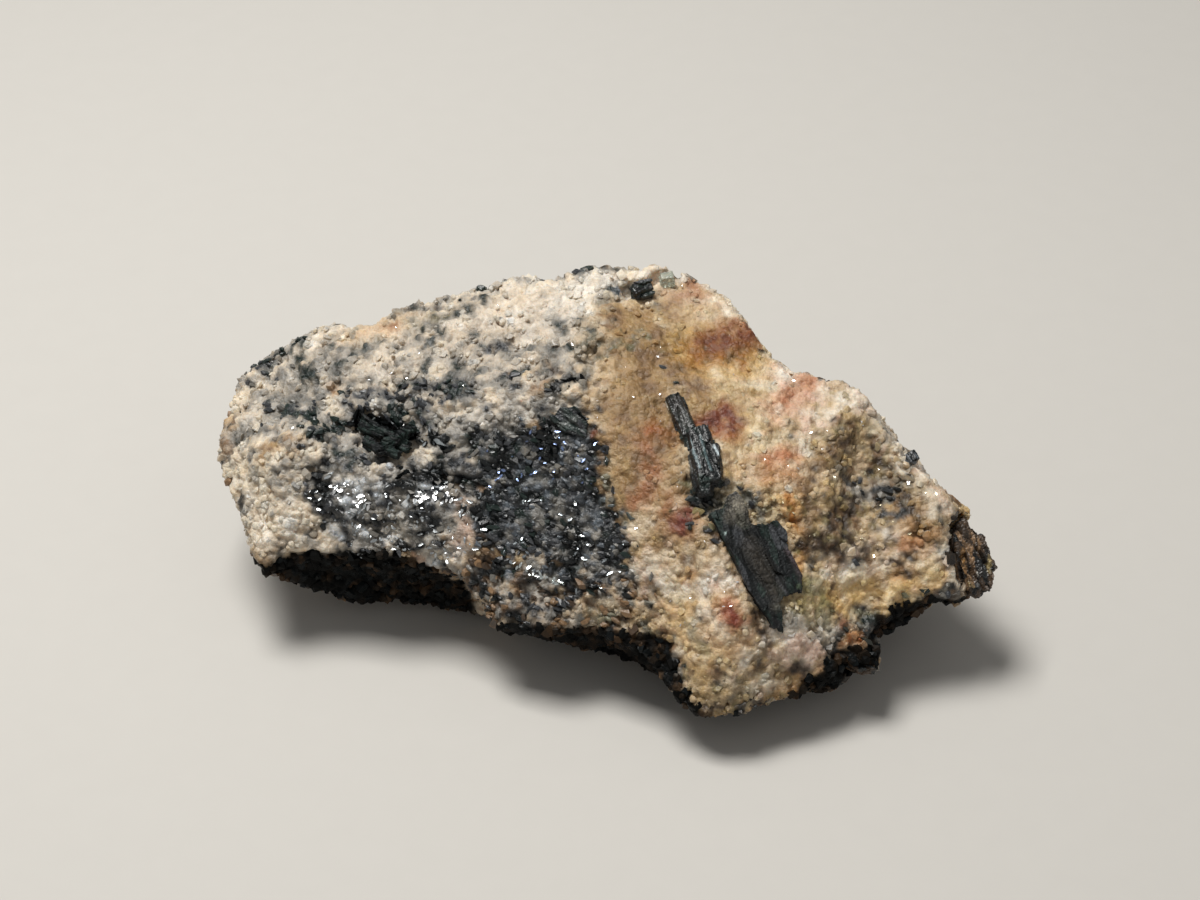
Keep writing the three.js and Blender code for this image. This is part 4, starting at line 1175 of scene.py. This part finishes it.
def dark_material(name, roughness, shine, turn):
    """Dark crystal with fine stripes along it. turn lines the stripes up with the crystal."""
    m = Nodes(name)
    stripes = m.noise(0.1 * MM, 3, stretch=(turn, (1.0, 1.0, 0.07)))
    crumbs = m.noise(0.09 * MM, 4)
    value = m.maths("MULTIPLY", m.ranged(stripes, 0.6, 1.7, 0.35, 0.7), m.ranged(crumbs, 0.75, 1.3, 0.3, 0.7))
    m.set(base_color=m.shaded(m.attribute("tint", "Color"), value))
    m.set(roughness=m.ranged(crumbs, roughness - 0.12, roughness + 0.14, 0.3, 0.7))
    m.set(specular_ior_level=shine)
    m.bump(m.maths("ADD", stripes, m.maths("MULTIPLY", crumbs, 0.5)), 0.035 * MM)
    return m.material


def glass_material(name):
    """A clear grain, slightly cloudy and green."""
    m = Nodes(name)
    m.set(base_color=(*linear("#dfe6d8"), 1), transmission_weight=0.7, ior=1.65)
    m.set(roughness=m.ranged(m.noise(0.2 * MM, 3), 0.05, 0.3, 0.3, 0.7))
    m.bump(m.noise(0.15 * MM, 3), 0.02 * MM)
    return m.material


def floor_material(name, colour):
    """A plain pale sheet with a faint tooth."""
    m = Nodes(name)
    tooth = m.noise(1.2 * MM, 3)
    m.set(base_color=m.shaded(tuple(colour), m.ranged(tooth, 0.985, 1.015)))
    m.set(roughness=0.9)
    return m.material


# Crystals

def grown(crystal, seed):
    """A crystal made from its CAD node, by its row of CRYSTALS: striped, stepped and marked."""
    node, voxel, way, rib, pitch, step, length, palette, roughness, shine, marks = crystal
    if node not in frame["nodes"]:
        raise RuntimeError("The CAD model has no " + node)
    rib, pitch, step, length = rib * MM, pitch * MM, step * MM, length * MM
    piece = copy_of(node, node + "_finished")
    remeshed(piece, voxel * MM, 1)
    mesh = piece.data
    points, normals = points_of(mesh), normals_of(mesh)
    way = np.array(way) / np.linalg.norm(way)
    short = points - 0.93 * (points @ way)[:, None] * way
    squat = points - 0.6 * (points @ way)[:, None] * way
    rng = np.random.default_rng(seed)
    ribs = np.array([noise.noise(Vector(p) / pitch + Vector((seed, 0, 0))) for p in short])
    crumbs = wobble(points, 0.5 * pitch, seed)
    side = 1 - np.abs(normals @ way)
    height = rib * (ribs * side + 0.6 * crumbs * (1 - side) + 0.2 * crumbs)
    height += facets(squat, length, step, 0.12, 0.5 * step, seed)
    sites, cell, _ = split(squat, 0.7 * length, seed + 1)
    kinds = rng.integers(0, len(palette), len(sites))
    tint = np.array([linear(MINERALS[name][0]) for name in palette])[kinds[cell]]
    tint = tint * rng.uniform(0.75, 1.3, (len(sites), 1))[cell]
    SIGHT.look_at(piece)
    for _, colour, strength, radius, path in marks:
        away = distance_to_path(points, [SIGHT.carried(p) for p in path]) / (radius * MM)
        amount = strength * np.clip(1.5 - away - 0.6 * rng.random(len(points)), 0, 1)
        tint = tint + amount[:, None] * (np.array(linear(colour)) - tint)
    points = points + normals * height[:, None]
    points[:, 2] = np.maximum(points[:, 2], 0)
    set_points(mesh, points)
    set_tint(mesh, tint, np.full(len(points), roughness))
    mesh.materials.append(dark_material(node, roughness, shine, turn_onto(way)))
    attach(piece, "root")
    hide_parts(node)
    return piece


def turn_onto(way):
    """The turn that brings a way onto Z, for stripes."""
    return Vector(way).rotation_difference(Vector((0, 0, 1))).to_euler()


# The operators

class SpecimenSettings(bpy.types.PropertyGroup):
    """What a user would change."""

    grain_size: FloatProperty(
        name="Grain size", description="Width of a coarse grain of the rock", default=COARSE_GRAIN,
        unit="LENGTH",
    )
    # This strength also scales the painted shade, shadow and glints among the stains
    stains: FloatProperty(
        name="Stains", description="How strongly iron stains the rock", default=1.0, min=0.0, max=1.5,
        subtype="FACTOR",
    )
    key_power: FloatProperty(
        name="Key light", description="Power of the main soft light", default=0.25, unit="POWER",
    )
    fill_power: FloatProperty(
        name="Fill light", description="Power of the soft light in front", default=0.015, unit="POWER",
    )
    floor_colour: FloatVectorProperty(
        name="Floor", description="Colour of the floor", default=linear(FLOOR_COLOUR), size=3, min=0.0,
        max=1.0, subtype="COLOR",
    )


def area_light(name, place, size, power, colour):
    """A square soft light aimed at the stone."""
    light = bpy.data.lights.new(name, "AREA")
    light.shape = "RECTANGLE"
    light.size = size
    light.size_y = size
    light.energy = power
    light.color = colour
    holder = bpy.data.objects.new(name, light)
    bpy.context.scene.collection.objects.link(holder)
    holder.location = place
    holder.rotation_euler = (CAMERA_TARGET - place).to_track_quat("-Z", "Y").to_euler()


class SPECIMEN_OT_stage(bpy.types.Operator):
    """Lay the floor and set up the light and the camera"""

    bl_idname = "specimen.stage"
    bl_label = "Stage"

    def execute(self, context):
        settings = context.scene.specimen
        bpy.ops.mesh.primitive_plane_add(size=FLOOR_SIZE)
        floor = context.active_object
        floor.name = "floor"
        floor.data.materials.append(floor_material("floor_sheet", settings.floor_colour))
        area_light("key_light", KEY_PLACE, KEY_SIZE, settings.key_power, KEY_COLOUR)
        area_light("fill_light", FILL_PLACE, FILL_SIZE, settings.fill_power, FILL_COLOUR)
        world = bpy.data.worlds.new("soft_room")
        world.use_nodes = True
        room = world.node_tree.nodes["Background"]
        room.inputs["Color"].default_value = ROOM_COLOUR
        room.inputs["Strength"].default_value = ROOM_LIGHT
        context.scene.world = world
        context.scene.view_settings.view_transform = "Standard"
        camera = bpy.data.cameras.new("camera")
        camera.lens = LENS
        camera.sensor_width = SENSOR
        camera.clip_start = 0.01
        camera.clip_end = 5
        holder = bpy.data.objects.new("camera", camera)
        context.scene.collection.objects.link(holder)
        holder.location = SIGHT.eye
        holder.rotation_euler = SIGHT.forward.to_track_quat("-Z", "Y").to_euler()
        context.scene.camera = holder
        return {"FINISHED"}


class SPECIMEN_OT_skin(bpy.types.Operator):
    """Cover the stone with its broken, coloured skin"""

    bl_idname = "specimen.skin"
    bl_label = "Stone skin"

    def execute(self, context):
        build_skin(context.scene.specimen.stains)
        return {"FINISHED"}


class SPECIMEN_OT_grains(bpy.types.Operator):
    """Stand crystal grains in the skin"""

    bl_idname = "specimen.grains"
    bl_label = "Grains"

    def execute(self, context):
        if SURVEY.points is None:
            raise RuntimeError("Build the stone skin before its grains")
        coarse = context.scene.specimen.grain_size
        cloudy = grain_material("cloudy_grain", cloud=0.65, shine=0.5)
        solid = grain_material("solid_grain", cloud=0.1, shine=0.5)
        # A dull copy of the grains' material, for the grains in painted shade
        dull = grain_material("painted_shade_grain", cloud=0.0, shine=0.08)
        shapes = grain_shapes()
        in_light = SURVEY.seen & SURVEY.clear & ~SURVEY.shaded
        pale = in_light & SURVEY.pale
        rough = SURVEY.relief > SMOOTH_UP_TO
        dark = in_light & ~SURVEY.pale & SURVEY.sharp
        # The spots painted as shade below the lit edge
        shade = SURVEY.shaded & SURVEY.clear
        back = ~SURVEY.seen & ~SURVEY.shaded
        still = (0, 0, 0)
        # Name, spots, share of them, size in coarse grains, form, sink, tilt, material, flow
        plan = (
            ("sugar_grains", pale & rough, 0.2, 0.66, (1, 1, 0.7), 0.29, 0.35, cloudy, still),
            ("waxy_grains", pale & ~rough, 0.08, 0.62, (1, 1, 0.6), 0.27, 0.25, cloudy, still),
            ("dark_grains", dark, 0.6, 0.52, (1.5, 0.8, 0.6), 0.16, 0.35, solid, FLOW),
            ("grains_in_painted_shade", shade, 0.4, 0.85, (1, 1, 0.8), 0.3, 0.5, dull, still),
            ("back_grains", back, 0.45, 0.88, (1, 1, 0.8), 0.34, 0.4, cloudy, still),
        )
        for seed, (name, wanted, share, size, form, sink, tilt, material, flow) in enumerate(plan):
            picked = picks(wanted, share, seed)
            strew(name, shapes, picked, size * coarse, form, sink, tilt, seed, material, flow)
        return {"FINISHED"}


class SPECIMEN_OT_shards(bpy.types.Operator):
    """Fill the hollow and the dark streaks with small black crystals"""

    bl_idname = "specimen.shards"
    bl_label = "Black shards"

    def execute(self, context):
        if SURVEY.points is None:
            raise RuntimeError("Build the stone skin before its shards")
        shapes = grain_shapes()
        material = glint_material("shard")
        for seed, (name, share, size, sink, radius, path) in enumerate(SHARDS):
            picked = picks(SURVEY.near(path, radius) & SURVEY.seen, share, seed + 40)
            tint = np.tile(linear(MINERALS["black"][0]), (len(picked), 1))
            piece = strew(
                name, shapes, picked, size * MM, SHARD_FORM, sink, tilt=0.3, seed=seed, material=material,
                flow=FLOW, tint=tint)
        return {"FINISHED"}


class SPECIMEN_OT_glints(bpy.types.Operator):
    """Scatter mica flakes that catch the light"""

    bl_idname = "specimen.glints"
    bl_label = "Glints"

    def execute(self, context):
        if SURVEY.points is None:
            raise RuntimeError("Build the stone skin before its glints")
        material = glint_material("glint")
        to_key = (KEY_PLACE - CAMERA_TARGET).normalized()
        lean = to_key + (SIGHT.eye - CAMERA_TARGET).normalized()
        lean.normalize()
        shapes = [flake_shape()]
        for seed, (name, colour, share, size, radius, path) in enumerate(GLINTS):
            picked = picks(SURVEY.near(path, radius) & SURVEY.seen & SURVEY.clear, share, seed + 60)
            tint = np.tile(linear(colour), (len(picked), 1))
            piece = strew(
                name, shapes, picked, size * MM, FLAKE_FORM, sink=-0.05, tilt=0.22, seed=seed,
                material=material, lean=lean, tint=tint)
        return {"FINISHED"}


class SPECIMEN_OT_crystals(bpy.types.Operator):
    """Grow the dark crystals"""

    bl_idname = "specimen.crystals"
    bl_label = "Dark crystals"

    def execute(self, context):
        for crystal in CRYSTALS:
            grown(crystal, seed=3)
        return {"FINISHED"}


class SPECIMEN_OT_tip(bpy.types.Operator):
    """Build the split brown chunk at the tip"""

    bl_idname = "specimen.tip"
    bl_label = "Tip"

    def execute(self, context):
        piece = grown(TIP, seed=4)
        return {"FINISHED"}


class SPECIMEN_OT_rim_grain(bpy.types.Operator):
    """Set the glassy grain on the rim"""

    bl_idname = "specimen.rim_grain"
    bl_label = "Rim grain"

    def execute(self, context):
        piece = grown(RIM_GRAIN, seed=5)
        piece.data.materials[0] = glass_material("rim_glass")
        return {"FINISHED"}


class SPECIMEN_PT_panel(bpy.types.Panel):
    """The steps that build the specimen, and its settings"""

    bl_idname = "SPECIMEN_PT_panel"
    bl_label = "Mineral specimen"
    bl_space_type = "VIEW_3D"
    bl_region_type = "UI"
    bl_category = "Specimen"

    def draw(self, context):
        settings = context.scene.specimen
        for name in ("grain_size", "stains", "key_power", "fill_power", "floor_colour"):
            self.layout.prop(settings, name)
        for step in STEPS:
            self.layout.operator(step.bl_idname)


STEPS = (
    SPECIMEN_OT_stage,
    SPECIMEN_OT_skin,
    SPECIMEN_OT_grains,
    SPECIMEN_OT_shards,
    SPECIMEN_OT_glints,
    SPECIMEN_OT_crystals,
    SPECIMEN_OT_tip,
    SPECIMEN_OT_rim_grain,
)
CLASSES = (SpecimenSettings, *STEPS, SPECIMEN_PT_panel)


def register():
    for kind in CLASSES:
        bpy.utils.register_class(kind)
    bpy.types.Scene.specimen = PointerProperty(type=SpecimenSettings)


def unregister():
    del bpy.types.Scene.specimen
    for kind in reversed(CLASSES):
        bpy.utils.unregister_class(kind)


def main():
    register()
    bpy.ops.specimen.stage()
    bpy.ops.specimen.skin()
    bpy.ops.specimen.grains()
    bpy.ops.specimen.shards()
    bpy.ops.specimen.glints()
    bpy.ops.specimen.crystals()
    bpy.ops.specimen.tip()
    bpy.ops.specimen.rim_grain()


if __name__ == "__main__":
    main()
